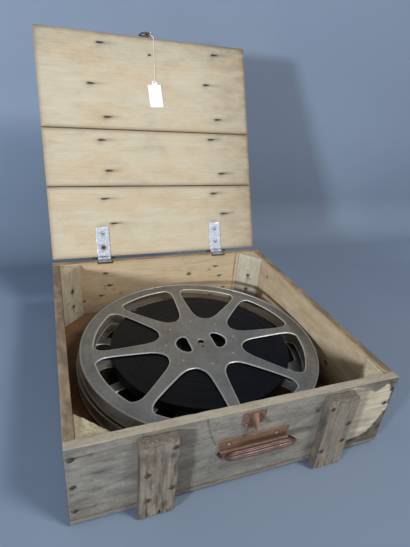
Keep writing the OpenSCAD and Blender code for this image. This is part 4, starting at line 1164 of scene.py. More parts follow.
def corner_block(nm, sx, sy, seed):
    leg, z0, hgt = 38.0, 7.0, 110.0
    st = 1.5 * FINE
    loop = round_loop([(0.1, 0.1), (leg, 0.1), (0.1, leg)], [0.6, 1.0, 1.0], st)
    nrm = inset(loop, -1.0) - loop
    nrm /= np.linalg.norm(nrm, axis=1)[:, None]
    cen = vec(leg * 0.29, leg * 0.29)
    zz = np.concatenate([[0, 0.5, 1.2], np.arange(2.5, hgt - 2, st), [hgt - 1.2, hgt - 0.5, hgt]])
    rings, tag, n = [], [], len(loop)
    for s in (0.12, 0.3, 0.5, 0.7, 0.85, 0.95):
        rings.append((s, 0.0))
    for z in zz:
        rings.append((1.0, z))
    for s in (0.95, 0.88, 0.8, 0.7, 0.6, 0.5, 0.38, 0.25, 0.12):
        rings.append((s, hgt))
    P, mb, loc = [], [], []
    for s, z in rings:
        base = cen + (loop - cen) * s
        cap = s < 1
        pull = 0.8 * np.clip(1 - min(z, hgt - z) / 1.2, 0, 1) if not cap else 0.8
        base = base - (nrm * pull if s > 0.9 else 0)
        zc = np.full(n, z)
        diag = sstep(base[:, 0] + base[:, 1], leg - 4, leg - 1)
        if not cap:
            saw = 0.35 * np.abs(fbm(base[:, 0] / 9, base[:, 1] / 9, zc / 1.5, seed, 2)) + 0.5 * np.clip(fbm(base[:, 0] / 3, base[:, 1] / 3, zc / 30, seed + 1, 3), 0, 1)
            d = diag * (saw + 0.8 * np.clip(fbm(base[:, 0] / 7, base[:, 1] / 7, zc / 22, seed + 2, 2), 0, 1))
            base = base - nrm * d[:, None]
        top = z > hgt - 6
        rise = np.zeros(n)
        if z > hgt / 2:
            k = np.clip((z - (hgt - 8)) / 8, 0, 1)
            rise = -k * (0.9 * np.clip(0.5 + fbm(base[:, 0] / 6, base[:, 1] / 6, 0, seed + 3, 3), 0, 2) + 0.5 * np.clip(fbm(base[:, 0] / 1.5, base[:, 1] / 1.5, 0, seed + 4, 2), 0, 1))
        P.append(np.stack([base[:, 0], base[:, 1], zc + rise], 1))
        e = np.full(n, 1.0 if cap or z > hgt - 0.4 or z < 0.4 else 0.0)
        mb.append(np.stack([e, np.zeros(n), np.zeros(n), np.ones(n)], 1))
    P = np.concatenate(P)
    mb = np.concatenate(mb)
    _, F = rings_mesh([P[i * n:(i + 1) * n] for i in range(len(rings))])
    p, q, z = P[:, 0], P[:, 1], P[:, 2]
    x = sx * (W2 - 12) - sx * p
    y = (D - 12 if sy > 0 else 12) - sy * q
    if sx * sy < 0:
        F = [f[::-1] for f in F]
    w = (p - q) / 1.414
    on = sstep(p + q, leg - 5, leg - 1)
    stn = on * 0.12 * sstep(fbm(w / 5, z / 24, 0, seed + 6, 3), 0, 0.6)
    for zz_ in (33, 66):
        stn = stn + on * (0.9 * spot(w, z, 0, zz_, 4.2, 3.8) + 0.4 * spot(w, z, 0, zz_ - 8, 2.5, 9))
    for k in range(3):
        stn = stn + on * 0.8 * spot(w, z, (seed * 7 + 11 * k) % 30 - 15, (seed * 13 + 31 * k) % 80 + 14, 3.2, 1.4)
    gaps = on * 0.8 * sstep(np.abs(w), leg * 0.66, leg * 0.7)
    ma = np.stack([np.clip(stn, 0, 1), np.zeros(len(p)), np.clip(on * (0.15 + 0.5 * np.exp(-z / 20)), 0, 1), np.zeros(len(p))], 1)
    mb[:, 2] = np.clip(gaps * 0.5, 0, 1)
    gr = np.stack([z + 500 * seed % 3000, np.hypot(p + 26, q - 8), np.arctan2(p + 26, q - 8) * 30], 1)
    lc = np.stack([z + 211.0 * seed, p + 37 * seed, q], 1)
    ob = add_mesh(nm, crate(np.stack([x, y, z + z0], 1)), F, M_BLOCK, {"loc": lc * MM, "grain": gr * MM, "ma": ma, "mb": mb}, sharp=55)
    own(ob, nm, "crate")


corner_block("corner_block_front_left", -1, -1, 51)
corner_block("corner_block_front_right", 1, -1, 52)
corner_block("corner_block_back_left", -1, 1, 53)
corner_block("corner_block_back_right", 1, 1, 54)


# lid boards: a along x, b up the lid, c from the inner face outwards
def lid_paint(u0, seed, b_len):
    def paint(a, b, c, side):
        f = side["c0"].astype(float)
        o = side["c1"].astype(float)
        x, u = a - 208.5, b + u0
        n = fbm(a / 70, b / 18, 0, seed, 3)
        st = f * 0.05 * sstep(n, 0.2, 0.8)
        for (nx, nu) in LID_LEFT + LID_RIGHT:
            k = (nx * 3.7 + nu * 1.3) % 1.0
            st = st + f * (0.75 * spot(x, u, nx + 5, nu, 8.5, 1.9) + (0.30 + 0.2 * k) * spot(x, u, nx + 16, nu + 0.6, 14, 3.0)
                           + 0.28 * spot(x, u, nx + 2, nu - 3, 7, 5.5))
            st = st + o * 0.5 * spot(x, u, nx, nu, 6, 5)
        st = st + f * 0.8 * spot(x, u, CATCH_X, 387, 3.2, 2.2)
        for hx in HINGE_X:
            st = st + f * 0.28 * spot(x, u, hx, 62, 14, 5)
        edge = np.minimum(b, b_len - b)
        grime = f * (0.35 * np.exp(-edge / 3.2) + 0.18 * np.exp(-np.minimum(a, 411 - a) / 16))
        grime = grime + f * 0.10 * sstep(fbm(a / 34, b / 26, 5, seed + 2, 3), 0.25, 0.8)
        # the inner face darker towards its right side, painted shade; also darker towards the top edge, with grime
        # along the right and top edges
        grime = grime + f * (0.27 * sstep(a, 270, 400) + 0.22 * sstep(u, 340, 421) + 0.25 * np.exp(-(411 - a) / 5.0) + 0.25 * np.exp(-(420 - u) / 5.0))
        return {"stain": st, "dirt": grime + o * 0.45, "dark": np.zeros(len(a))}
    return paint


for nm, u0, u1, sd, kn in (("lid_board_back", 3.3, 135.6, 61, []),
                           ("lid_board_middle", 137.2, 242.4, 62, []),
                           ("lid_board_front", 244.0, 420.0, 63, [])):
    own(board(nm, 411, u1 - u0, 12, lambda p, u0=u0: on_lid(np.stack([p[:, 0] - 208.5, p[:, 1] + u0, LID_N - p[:, 2]], 1)), M_LID, sd, step=2.4,
              edge=(0.5, 1.0), rough=0.12, wave=0.3, pith=((u1 - u0) * (0.4 if sd != 62 else 0.62), 70 if sd != 62 else 52), knots=kn,
              paint=lid_paint(u0, sd * 5, u1 - u0), mat2=M_OUT, faces2=("c1",),
              sculpt=lambda a, b, c, side: 0.5 * np.clip(fbm(a / 12, b / 30, c / 4, 9, 3) - 0.3, 0, 1) * (side["b0"] | side["b1"])),
        nm, "lid")

for s, nm, xm in ((-1, "lid_batten_left", -113.0), (1, "lid_batten_right", 117.0)):
    def lb_outline(P, a, b, c):
        k = np.clip((c - 11) / 4, 0, 1)
        P = P.copy()
        P[:, 0] += np.clip(1 - a / 14, 0, 1) * k * 4 - np.clip(1 - (396 - a) / 14, 0, 1) * k * 4
        return P

    own(board(nm, 396, 43, 15, lambda p, xm=xm: on_lid(np.stack([p[:, 1] + xm - 21.5, p[:, 0] + 12, LID_N - LID_T - p[:, 2]], 1)), M_BAT, 71 + s, step=2.2,
              edge=(0.7, 1.3), rough=0.25, wave=0.4, outline=lb_outline,
              paint=lambda a, b, c, side, xm=xm: {
                  "stain": 0.4 * sstep(fbm(a / 40, b / 4, c / 5, 15, 3), 0.0, 0.65)
                  + side["c1"] * sum(0.6 * spot(a, b, nu - 12, nx - xm + 21.5, 6, 4) for nx, nu in LID_LEFT + LID_RIGHT if abs(nx - xm) < 22),
                  "dirt": 0.3 * sstep(fbm(a / 30, b / 9, 0, 25, 3), -0.2, 0.6)}),
        nm, "lid")


# ------------------------------------------------------------ nails and screws
def to_front(x, z, y=0.0):
    return lambda v: np.stack([x + v[:, 0], y - v[:, 2], z + v[:, 1]], 1)


def to_back(x, z, y=D):
    return lambda v: np.stack([x + v[:, 0], y + v[:, 2], z - v[:, 1]], 1)


def to_under(x, y, z=0.0):
    return lambda v: np.stack([x + v[:, 0], y - v[:, 1], z - v[:, 2]], 1)


def to_lid_outer(x, u, n):
    return lambda v: np.stack([x + v[:, 0], u + v[:, 1], n - v[:, 2]], 1)


def add_nail(B, to, rng, deep, head=2.9, thick=0.9, tip=0.0, shank=1.2, rust=0.5, light=0.0):
    """head on the local plane z = 0, shank down; tip > 0: driven through and bent over along +x"""
    n = 20
    prof = [(shank * 0.98, -1.2), (shank, -0.02), (head * 0.9, 0.0), (head * 0.985, 0.22 * thick), (head, 0.45 * thick),
            (head * 0.96, 0.72 * thick), (head * 0.84, 0.92 * thick), (head * 0.5, thick), (head * 0.12, 0.96 * thick)]
    v, f = lathe(prof, n)
    th = np.arctan2(v[:, 1], v[:, 0])
    r = np.hypot(v[:, 0], v[:, 1])
    ph = rng.uniform(0, 6.3)
    k = (r / head) ** 2 * (v[:, 2] > -0.5)
    v[:, :2] *= (1 + 0.045 * k * np.sin(2 * th + ph) + 0.03 * k * np.sin(5 * th + 2 * ph))[:, None]
    dent = rng.uniform(0, 0.35) * np.exp(-(((v[:, 0] - rng.uniform(-1, 1)) / 1.2) ** 2 + ((v[:, 1] - rng.uniform(-1, 1)) / 1.2) ** 2))
    v[:, 2] -= dent * (v[:, 2] > 0.5 * thick)
    v[:, 2] += (v[:, 0] * rng.uniform(-0.05, 0.05) + v[:, 1] * rng.uniform(-0.05, 0.05)) * (v[:, 2] > -0.5)
    paint = np.zeros((len(v), 4))
    paint[:, 0] = rust
    paint[:, 1] = light * np.clip(1.2 - r / head, 0, 1) * (v[:, 2] > 0.5 * thick)
    B.add(to(v), f, v + rng.uniform(-50, 50, 3), paint)
    if tip > 0:
        # shank, bend and hammered-down point
        a = np.linspace(0, math.pi / 2, 6)
        bend = 1.6
        pts = [(0, 0, -0.8), (0, 0, -deep + bend - 1.2)]
        pts += [(bend - bend * math.cos(t), 0, -deep + bend - 1.2 - bend * math.sin(t)) for t in a[1:]]
        wob = rng.uniform(-1.3, 1.3)
        for s in np.linspace(0.25, 1, 8):
            pts.append((bend + (tip - bend) * s, wob * s * s, -deep - 1.2 + 0.75 * s ** 2))
        rad = [shank, shank] + [shank] * 5 + list(np.linspace(shank, 0.42, 8))
        v, f = tube(pts, rad, 10, flat=0.86)
        paint = np.zeros((len(v), 4))
        paint[:, 0] = 0.3
        paint[:, 2] = 0.35
        B.add(to(v), f, v + rng.uniform(-50, 50, 3), paint)
    else:
        rr = [shank, shank, shank * 0.9, 0.5, 0.15]
        zz = [-1.0, -deep + 4.2, -deep + 3.2, -deep + 1.2, -deep]
        v, f = lathe([(r_, z_) for r_, z_ in zip(rr, zz)][::-1], 12)
        B.add(to(v), f, v, (rust, 0, 0, 0))


def nails(name, body, slot_name, mat, items, place=crate):
    rng = np.random.default_rng(len(name) * 7 + len(items))
    B = Build()
    for to, kw in items:
        add_nail(B, to, rng, **kw)
    return own(B.done(name, mat, place), name, body)


nails("wall_nails", "crate", "nail_steel", M_NAIL,
      [(to_front(x, z), dict(deep=34)) for x, z in CORNER_FRONT] + [(to_back(x, z), dict(deep=34)) for x, z in CORNER_BACK])
nails("batten_nails", "crate", "nail_steel", M_NAIL,
      [(to_front(x, z, -14), dict(deep=26, tip=9)) for x, z in FRONT_NAILS] + [(to_back(x, z, D + 14), dict(deep=26, tip=9)) for x, z in BACK_NAILS])
BOTTOM = [(x, y) for y in (6, D - 6) for x in (-180, -60, 60, 180)] + [(x, y) for x in (-204, 204) for y in (60, 160, 260, 360)]
RUN = [(s * 116 + (11 if y % 3 == 0 else -11), y) for s in (-1, 1) for y in (36, 104, 172, 248, 316, 384)]
nails("bottom_nails", "crate", "nail_steel", M_NAIL,
      [(to_under(x, y, 0), dict(deep=30)) for x, y in BOTTOM] + [(to_under(x, y, -5), dict(deep=11, thick=0.8)) for x, y in RUN])


def to_block(sx, sy, z):
    def f(v):
        # local +z points out of the block's slanted face
        d = vec(-sx, -sy) / math.sqrt(2)
        t = vec(-d[1], d[0])
        x0, y0 = sx * (W2 - 12) - sx * 19, (D - 12 if sy > 0 else 12) - sy * 19
        return np.stack([x0 + d[0] * v[:, 2] + t[0] * v[:, 1], y0 + d[1] * v[:, 2] + t[1] * v[:, 1], 7 + z - v[:, 0]], 1)
    return f


nails("block_nails", "crate", "nail_steel", M_NAIL,
      [(to_block(sx, sy, z), dict(deep=20, head=2.6, thick=0.8)) for sx in (-1, 1) for sy in (-1, 1) for z in (33, 66)])
nails("lid_nails", "lid", "nail_steel", M_NAIL,
      [(to_lid_outer(x, u, LID_N - LID_T - 15), dict(deep=27, tip=12)) for x, u in LID_LEFT + LID_RIGHT], place=on_lid)
nails("hasp_nails", "lid", "nail_steel", M_NAIL,
      [(to_lid_outer(CATCH_X, 387, LID_N - LID_T - 1.5), dict(deep=13.5, tip=5, head=2.6))]
      + [(to_lid_outer(CATCH_X + s, 404, LID_N - LID_T - 1.5), dict(deep=12.5, head=2.6)) for s in (-7, 7)], place=on_lid)
nails("handle_nails", "crate", "rusty_steel", M_RUST,
      [(to_front(1.5 + s * 31.5, 72, -1.6), dict(deep=12, head=2.4, thick=0.8, light=0.9, rust=0.2)) for s in (-1, 1)])
nails("catch_nails", "crate", "rusty_steel", M_RUST,
      [(to_front(x, z, -1.2), dict(deep=10, head=2.1, thick=0.7, light=0.15)) for x, z in
       ((CATCH_X - 11, H - 7), (CATCH_X + 11, H - 7), (CATCH_X - 9, H - 22))])


def add_screw(B, to, rng, head=3.5, thick=1.0, length=18, flush=False, rust=0.3):
    """slotted screw, head on the local plane z = 0"""
    turn = rng.uniform(0, 3.14)
    lp = circle(0, 0, head, 36)

    def top(x, y):
        r = np.hypot(x, y)
        d = x * math.sin(turn) + y * math.cos(turn)
        slot_ = np.clip(1 - (np.abs(d) / 0.62) ** 4, 0, 1) * 0.5
        dome = 0 if flush else -0.55 * (r / head) ** 2
        return dome - slot_

    v, f = plate(lp, [], thick, 0.42, top=top, soft=0.16)
    v = v + (vec(0, 0, -thick - 0.05) if flush else 0)
    paint = np.zeros((len(v), 4))
    d = v[:, 0] * math.sin(turn) + v[:, 1] * math.cos(turn)
    paint[:, 0] = rust
    paint[:, 2] = np.clip(1.5 - np.abs(d) / 0.5, 0, 1) * 0.9
    B.add(to(v), f, v + rng.uniform(-40, 40, 3), paint)
    # threaded shank
    pts, rad = [], []
    for i in range(int(length * 2.4)):
        z = -0.5 - i / 2.4
        pts.append((0, 0, z))
        rad.append(max(0.25, (1.62 if i % 2 else 1.25) * min(1, (length + z) / 4 + 0.1)))
    v, f = tube(pts, rad, 10)
    B.add(to(v), f, v, (rust, 0, 0, 0))


rng_ = np.random.default_rng(5)
B = Build()
for hx in HINGE_X:
    for u in (21.0, 47.5):
        add_screw(B, lambda v, hx=hx, u=u: v + vec(hx, u, -0.05), rng_, rust=0.95 if (hx < 0 and u < 30) else 0.35)
own(B.done("hinge_lid_screws", M_ZINC, on_lid), "hinge_lid_screws", "lid")
B = Build()
for hx in HINGE_X:
    for s in (-1, 1):
        add_screw(B, lambda v, hx=hx, s=s: v + vec(hx + s * 6.5, D - 6, H), rng_, head=2.9, thick=0.9, length=16, flush=True, rust=0.5)
own(B.done("hinge_wall_screws", M_ZINC, crate), "hinge_wall_screws", "crate")


# ------------------------------------------------------------ sheet metal helpers
def strip(path, half_t, s0, s1, n_side=10, round_=0.35):
    """A band of sheet: path in (p, q), thickness across it, width from s0 to s1 along the third axis; returns (s, p, q)"""
    p = np.asarray(path, float)
    t = np.gradient(p, axis=0)
    t /= np.linalg.norm(t, axis=1)[:, None]
    nrm = np.stack([-t[:, 1], t[:, 0]], 1)
    hw = (s1 - s0) / 2
    mid = (s0 + s1) / 2
    xs = np.linspace(-hw + round_, hw - round_, n_side)
    sec = [(x, half_t) for x in xs] + [(hw - 0.1 * round_, half_t * 0.6), (hw, 0), (hw - 0.1 * round_, -half_t * 0.6)] + \
          [(x, -half_t) for x in xs[::-1]] + [(-hw + 0.1 * round_, -half_t * 0.6), (-hw, 0), (-hw + 0.1 * round_, half_t * 0.6)]
    sec = np.array(sec)
    rings = []
    for i in range(len(p)):
        rings.append(np.stack([mid + sec[:, 0], p[i, 0] + nrm[i, 0] * sec[:, 1], p[i, 1] + nrm[i, 1] * sec[:, 1]], 1))
    return rings_mesh(rings)


def arc(cx, cy, r, a0, a1, n):
    t = np.radians(np.linspace(a0, a1, n))
    return [(cx + r * math.cos(k), cy + r * math.sin(k)) for k in t]


def resample(path, step):
    p = np.asarray(path, float)
    d = np.concatenate([[0], np.cumsum(np.linalg.norm(np.diff(p, axis=0), axis=1))])
    k = max(2, int(d[-1] / step) + 1)
    s = np.linspace(0, d[-1], k)
    return np.stack([np.interp(s, d, p[:, j]) for j in range(p.shape[1])], 1)


# ------------------------------------------------------------ handle
HX, HZ0 = 2.5, 62.5
lp = round_loop([(-45.5, 0), (45.5, 0), (45.5, 16.5), (-45.5, 16.5)], [1.2, 1.2, 2.2, 1.4], 1.2)
lp = lp + np.stack([0.22 * fbm(lp[:, 0] / 6, lp[:, 1] / 6, 0, 3, 2), 0.3 * fbm(lp[:, 0] / 7, lp[:, 1] / 5, 1, 4, 2)], 1)
lp = np.clip(lp, (-45.5, 0), (45.5, 16.5))
v, f = plate(lp, [], 1.5, 1.3, top=lambda x, y: 0.12 * fbm(x / 14, y / 8, 0, 6, 2), soft=0.3)
v[:, 2] = np.clip(v[:, 2], 0.02, 1.75)
B = Build()
paint = np.zeros((len(v), 4))
paint[:, 1] = 0.25 * sstep(fbm(v[:, 0] / 12, v[:, 1] / 3, 0, 12, 3), 0.2, 0.7)
for s in (-1, 1):
    paint[:, 2] += 0.9 * np.clip(1 - (np.hypot(v[:, 0] + 1 - s * 31.5, v[:, 1] - 9.5) / 3.6) ** 4, 0, 1)
B.add(np.stack([HX + v[:, 0], -v[:, 2], HZ0 + v[:, 1]], 1), f, v, paint)
# lower edge rolled outwards; its open ends hold the bail. The roll is darkened with painted shade.
path = [(-1.0, 71.0), (-1.15, 68.0), (-1.75, 65.5)] + [(y, 127.0 - z) for y, z in arc(-4.8, 63.5, 2.66, -8, 288, 26)]
v, f = strip(resample([(y, -z) for y, z in path], 0.55), 0.68, HX - 45.5, HX + 45.5, 64, 0.3)
v[:, 2] *= -1
f = [tuple(q[::-1]) for q in f]
dent = 0.16 * fbm(v[:, 0] / 9, v[:, 1] / 9, v[:, 2] / 9, 16, 3) * sstep(45.5 - np.abs(v[:, 0] - HX), 6, 12)
v[:, 1] -= dent
B.add(v, f, v, (0.15, 0.05, 0.35, 0))
own(B.done("handle_plate", M_RUST, crate, sharp=50), "handle_plate", "crate")

TILT = math.radians(123)


def on_bail(v):
    v = np.asarray(v, float)
    c, s = math.cos(TILT), math.sin(TILT)
    return np.stack([HX + v[:, 0], -4.8 + v[:, 1] * c + v[:, 2] * s, 63.5 - v[:, 1] * s + v[:, 2] * c], 1)


pts = [(37, 0), (40, 0), (44, 0)] + [(45.3 + 2.5 * math.sin(t), -2.5 + 2.5 * math.cos(t)) for t in np.linspace(0, math.pi / 2, 7)]
pts += [(47.8, -5), (47.8, -7), (47.8, -9), (47.8, -11)] + [(45.3 + 2.5 * math.cos(t), -13.3 - 2.5 * math.sin(t)) for t in np.linspace(0, math.pi / 2, 7)]
pts += [(40, -15.8), (20, -15.8)]
half = np.array([(x, 0, z) for x, z in pts])
path = np.concatenate([half, (half * vec(-1, 1, 1))[::-1]])
path = resample(path, 1.1)
wob = 0.12 * np.stack([fbm(path[:, 0] / 9, path[:, 2] / 9, i, 8, 2) for i in range(3)], 1)
wob[:, 0] *= (np.abs(path[:, 0]) > 38)
v, f = tube(path + wob * 0.8, 1.76, 14, ref=(0, 1, 0.03))
B = Build()
B.add(on_bail(v), f, v)
own(B.done("handle_bail", M_WIRE, crate), "handle_bail", "bail")

# rolled sheet grip: an overlapped seam, two pressed folds, pinched tapered ends
xs = np.concatenate([np.linspace(-44.5, -30, 26), np.linspace(-29, 29, 56), np.linspace(30, 44.5, 26)])
N = 88
th = np.arange(N) * 2 * math.pi / N
rings, pk = [], []
for x in xs:
    e = 44.5 - abs(x)
    base = float(np.interp(e, [0, 0.8, 1.8, 3.2, 5, 9, 12, 15], [2.0, 2.7, 3.45, 4.1, 4.6, 5.1, 5.42, 5.45]))
    taper = sstep(e, 11, 1.5)
    k = 1 - taper
    r = np.full(N, base)
    # seam step of the overlapping sheet, facing down and forward
    ds = (th - math.radians(275)) % (2 * math.pi)
    r = r + 0.34 * np.exp(-ds / 1.5) * (0.5 + 0.5 * k) - 0.28
    # pressed folds
    for a0, w, h in ((249, 0.12, -0.62), (221, 0.12, -0.42), (303, 0.10, -0.5)):
        dd = (th - math.radians(a0) + math.pi) % (2 * math.pi) - math.pi
        r = r + h * k * np.exp(-(dd / w) ** 2) + 0.16 * k * np.exp(-((np.abs(dd) - 0.26) / 0.1) ** 2)
    # pleats of the pinched ends
    r = r * (1 + taper * (0.12 * np.sin(5 * th + (1.2 if x > 0 else 0.2)) + 0.08 * np.sin(9 * th + 2.1)))
    r = r * (1 + 0.012 * np.sin(x * 0.35 + 2 * th) + 0.02 * fbm(x / 9, np.cos(th) * 1.5, np.sin(th) * 1.5, 31, 2))
    r = np.minimum(r, 5.5)
    rings.append(np.stack([np.full(N, x), r * np.cos(th), -15.8 + r * np.sin(th)], 1))
    # painted highlights along three lines round the grip, and painted shade along the middle fold and over the left
    # end; the tapered ends a little darker
    hi = np.zeros(N)
    for a0, w in ((235, 0.06), (262, 0.05), (289, 0.05)):
        dd = (th - math.radians(a0) + math.pi) % (2 * math.pi) - math.pi
        hi = np.maximum(hi, np.exp(-(dd / w) ** 2) * k)
    lo = np.exp(-((((th - math.radians(249) + math.pi) % (2 * math.pi)) - math.pi) / 0.08) ** 2) * k
    g = np.clip((x + 34) / -10, 0, 1)
    hi = hi * (0.55 + 0.45 * math.sin(x * 0.21 + 1) * math.sin(x * 0.083))
    pk.append(np.stack([np.full(N, 0.2), np.clip(hi * 0.9, 0, 1), np.clip(lo * 0.8 + 0.75 * g + 0.15 * taper, 0, 1), np.zeros(N)], 1))
v, f = rings_mesh(rings)
B = Build()
B.add(on_bail(v), f, v, np.concatenate(pk))
own(B.done("handle_grip", M_GRIP, crate, sharp=50), "handle_grip", "bail")


# ------------------------------------------------------------ catch
cp = [(-14.5, 115.5), (14.5, 115.5), (14.5, 105), (11, 96), (4, 91), (-4, 91), (-11, 93.5), (-14.5, 101)]
lp = round_loop(cp[::-1], [1.5, 2.5, 2.5, 2.5, 2.5, 2.5, 1.2, 1.2], 0.9)
v, f = plate(lp, [], 1.1, 1.0, top=lambda x, z: 0.1 * fbm(x / 6, z / 6, 0, 16, 2), soft=0.25)
v[:, 2] = np.clip(v[:, 2], 0.02, 1.35)
paint = np.zeros((len(v), 4))
# dark channel: painted shade on the plate under the beak, random darker patches, and dark rings round the nails
paint[:, 2] = 0.5 * np.exp(-((v[:, 0] + 0.2) / 6) ** 4) * sstep(v[:, 1], 115, 111) + 0.3 * sstep(fbm(v[:, 0] / 4, v[:, 1] / 4, 0, 19, 2), 0.1, 0.6)
for x, z in ((-11, H - 7), (11, H - 7), (-9, H - 22)):
    paint[:, 2] += 0.9 * np.clip(1 - (np.hypot(v[:, 0] - x, v[:, 1] - z) / 3.2) ** 4, 0, 1)
B = Build()
B.add(np.stack([CATCH_X + v[:, 0], -v[:, 2], v[:, 1]], 1), f, v, paint)
own(B.done("catch_plate", M_RUST, crate, sharp=50), "catch_plate", "crate")

# pressed beak: a ridge that grows downwards and ends in a tip hooked over a hollow
rings, pk = [], []
zs = list(np.linspace(H - 6.2, H - 20.9, 30)) + list(np.linspace(H - 21.05, H - 23.4, 7))
for z in zs:
    k = (H - 6 - z) / 18.0
    xl, xr = -7 + 5.5 * k, 6.6 - 4.0 * k
    depth = np.interp(H - z, [6, 19.5, 22.5, 23.5], [1.3, 12.5, 13.0, 11.3])
    yb = 1.0 if H - z <= 21 else np.interp(H - z, [21, 23.5], [7.0, 10.9])
    xm = (xl + xr) / 2 + 0.4
    w = 0.22 + 0.1 * k
    side_n = 9
    fl, fr = xl + (xm - xl) * 0.42, xr + (xm - xr) * 0.34
    left = [(xl + (fl - xl) * t ** 1.6, yb + (depth - yb) * 0.9 * t) for t in np.linspace(0, 0.97, side_n)]
    right = [(xr + (fr - xr) * t ** 1.6, yb + (depth - yb) * 0.88 * t) for t in np.linspace(0, 0.97, side_n)]
    ridge = [(fl, yb + (depth - yb) * 0.91), (xm, yb + (depth - yb) * 1.0), (fr, yb + (depth - yb) * 0.89)]
    base = [(xr + (xl - xr) * t, yb) for t in (0.25, 0.5, 0.75)]
    sec = np.array(left + ridge + right[::-1] + base)
    rings.append(np.stack([CATCH_X + 0.6 + sec[:, 0], -sec[:, 1], np.full(len(sec), z)], 1))
    # painted highlight along the ridge and painted shade on the left face; the rest of the beak a little darker
    hi = np.zeros(len(sec))
    hi[side_n + 1:side_n + 3] = 0.3 + 0.4 * sstep(H - z, 17, 21)
    lo = np.full(len(sec), 0.25)
    lo[:side_n + 1] = 0.75 - 0.4 * sstep(H - z, 17, 21)
    pk.append(np.stack([np.full(len(sec), 0.2), hi, lo, np.zeros(len(sec))], 1))
v, f = rings_mesh(rings)
v = v + 0.1 * np.stack([fbm(v[:, 0] / 3, v[:, 1] / 3, v[:, 2] / 3, 21 + i, 2) for i in range(3)], 1) * vec(1, 0.5, 0.3)
B = Build()
B.add(v, f, v, np.concatenate(pk))
own(B.done("catch_beak", M_RUST, crate, sharp=45), "catch_beak", "crate")


# ------------------------------------------------------------ hinges
def knuckle(x0, x1, r=3.05, bore=1.62, gap=0.25):
    prof = [(bore, x0), (r - 0.2, x0), (r, x0 + 0.25), (r, (x0 + x1) / 2), (r, x1 - 0.25), (r - 0.2, x1), (bore, x1), (bore, x0)]
    v, f = lathe(prof, 36)
    return np.stack([v[:, 2], v[:, 0], v[:, 1]], 1), f


for hx, side_ in ((HINGE_X[0], "left"), (HINGE_X[1], "right")):
    # lid leaf: flat leaf with two outer knuckles and a notch for the middle one
    sd = 5 if hx < 0 else 9
    out = [(-12, 3.6), (-12, 59.8), (12, 59.8), (12, 3.6)]
    lp = round_loop(out, [0.8, 2.2, 2.2, 0.8], 1.3)
    v, f = plate(lp, [], 1.5, 1.5, top=lambda x, u: -0.12 + 0.1 * fbm(x / 10, u / 14, 0, sd, 2), soft=0.3)
    v[:, 2] = np.clip(v[:, 2] - 1.5, -1.5, 0.0) - 0.04
    paint = np.zeros((len(v), 4))
    for u, rst in ((21, 0.9 if hx < 0 else 0.25), (47.5, 0.3)):
        paint[:, 0] += rst * np.exp(-(np.hypot(v[:, 0], v[:, 1] - u) / 5.2) ** 2)
        paint[:, 2] += 0.8 * np.clip(1 - (np.hypot(v[:, 0], v[:, 1] - u) / 4.3) ** 6, 0, 1)
    # a dark band along the leaf's lower edge, painted shade where it meets the knuckles
    paint[:, 2] += 0.75 * np.exp(-((v[:, 1] - 4.2) / 1.1) ** 2) * (np.abs(v[:, 0]) < 11)
    B = Build()
    B.add(v + vec(hx, 0, 0), f, v + vec(hx, 0, 0), np.clip(paint, 0, 1))
    for s in (-1, 1):
        v, f = knuckle(hx + s * 8.05 - 3.9, hx + s * 8.05 + 3.9)
        B.add(v, f, v, (0.15, 0, 0.1, 0))
        # web that joins the knuckle and the leaf
        pa = [(0.9, -2.55), (2.0, -1.75), (3.2, -1.0), (4.4, -0.8), (5.4, -0.79)]
        v, f = strip(resample(pa, 0.5), 0.68, hx + s * 8.05 - 3.85, hx + s * 8.05 + 3.85, 6, 0.25)
        B.add(v, f, v, (0.15, 0, 0.2, 0))
    nm = "hinge_lid_leaf_" + side_
    own(B.done(nm, M_ZINC, on_lid, sharp=45), nm, "lid")
    # wall leaf, let into the rim
    lp = round_loop([(-12, D - 11.4), (12, D - 11.4), (12, D - 0.1), (-12, D - 0.1)], 0.6, 1.1)
    v, f = plate(lp, [], 1.45, 1.3, top=lambda x, y: 0.05 * fbm(x / 8, y / 8, 0, sd + 1, 2) - 0.05, soft=0.25)
    v[:, 2] = np.clip(v[:, 2], 0.0, 1.5)
    paint = np.zeros((len(v), 4))
    paint[:, 2] = 0.45
    for s in (-1, 1):
        paint[:, 2] += 0.5 * np.clip(1 - (np.hypot(v[:, 0] - s * 6.5, v[:, 1] - D + 6) / 3.6) ** 6, 0, 1)
    B = Build()
    B.add(v + vec(hx, 0, H - 1.5), f, v + vec(hx, 0, 0), np.clip(paint, 0, 1))
    v, f = knuckle(hx - 3.85, hx + 3.85)
    B.add(v + vec(0, PY, PZ), f, v, (0.2, 0, 0.25, 0))
    pa = [(D - 1.2, H - 0.8), (D + 0.4, H - 0.85), (PY - 1.4, H - 1.6), (PY - 0.4, H - 2.2)]
    v, f = strip(resample(pa, 0.5), 0.6, hx - 3.85, hx + 3.85, 6, 0.25)
    B.add(v, f, v, (0.2, 0, 0.3, 0))
    nm = "hinge_wall_leaf_" + side_
    own(B.done(nm, M_ZINC, crate, sharp=45), nm, "crate")
    # pin, with slightly spread ends
    prof = [(0.5, -12.6), (1.45, -12.5), (1.5, -12.1), (1.49, -11.5), (1.49, 11.5), (1.5, 12.1), (1.45, 12.5), (0.5, 12.6)]
    v, f = lathe(prof, 24)
    v = np.stack([v[:, 2] + hx, v[:, 0] + PY, v[:, 1] + PZ], 1)
    B = Build()
    B.add(v, f, v, (0.4, 0, 0.2, 0))
    nm = "hinge_pin_" + side_
    own(B.done(nm, M_NAIL, crate), nm, "crate")


# ------------------------------------------------------------ hasp
n1 = LID_N - LID_T
EU, EN = 428.5, -4.0
B = Build()
path = [(380, n1 - 0.75), (400, n1 - 0.75), (417, n1 - 0.75)] + arc(419.0, n1 + 1.0, 1.75, -90, 0, 8) + [(420.75, n1 + 4), (420.75, n1 + 8.9)]
path = resample(path, 0.8)
v, f = strip(path, 0.72, CATCH_X - 12, CATCH_X + 12, 20, 0.5)
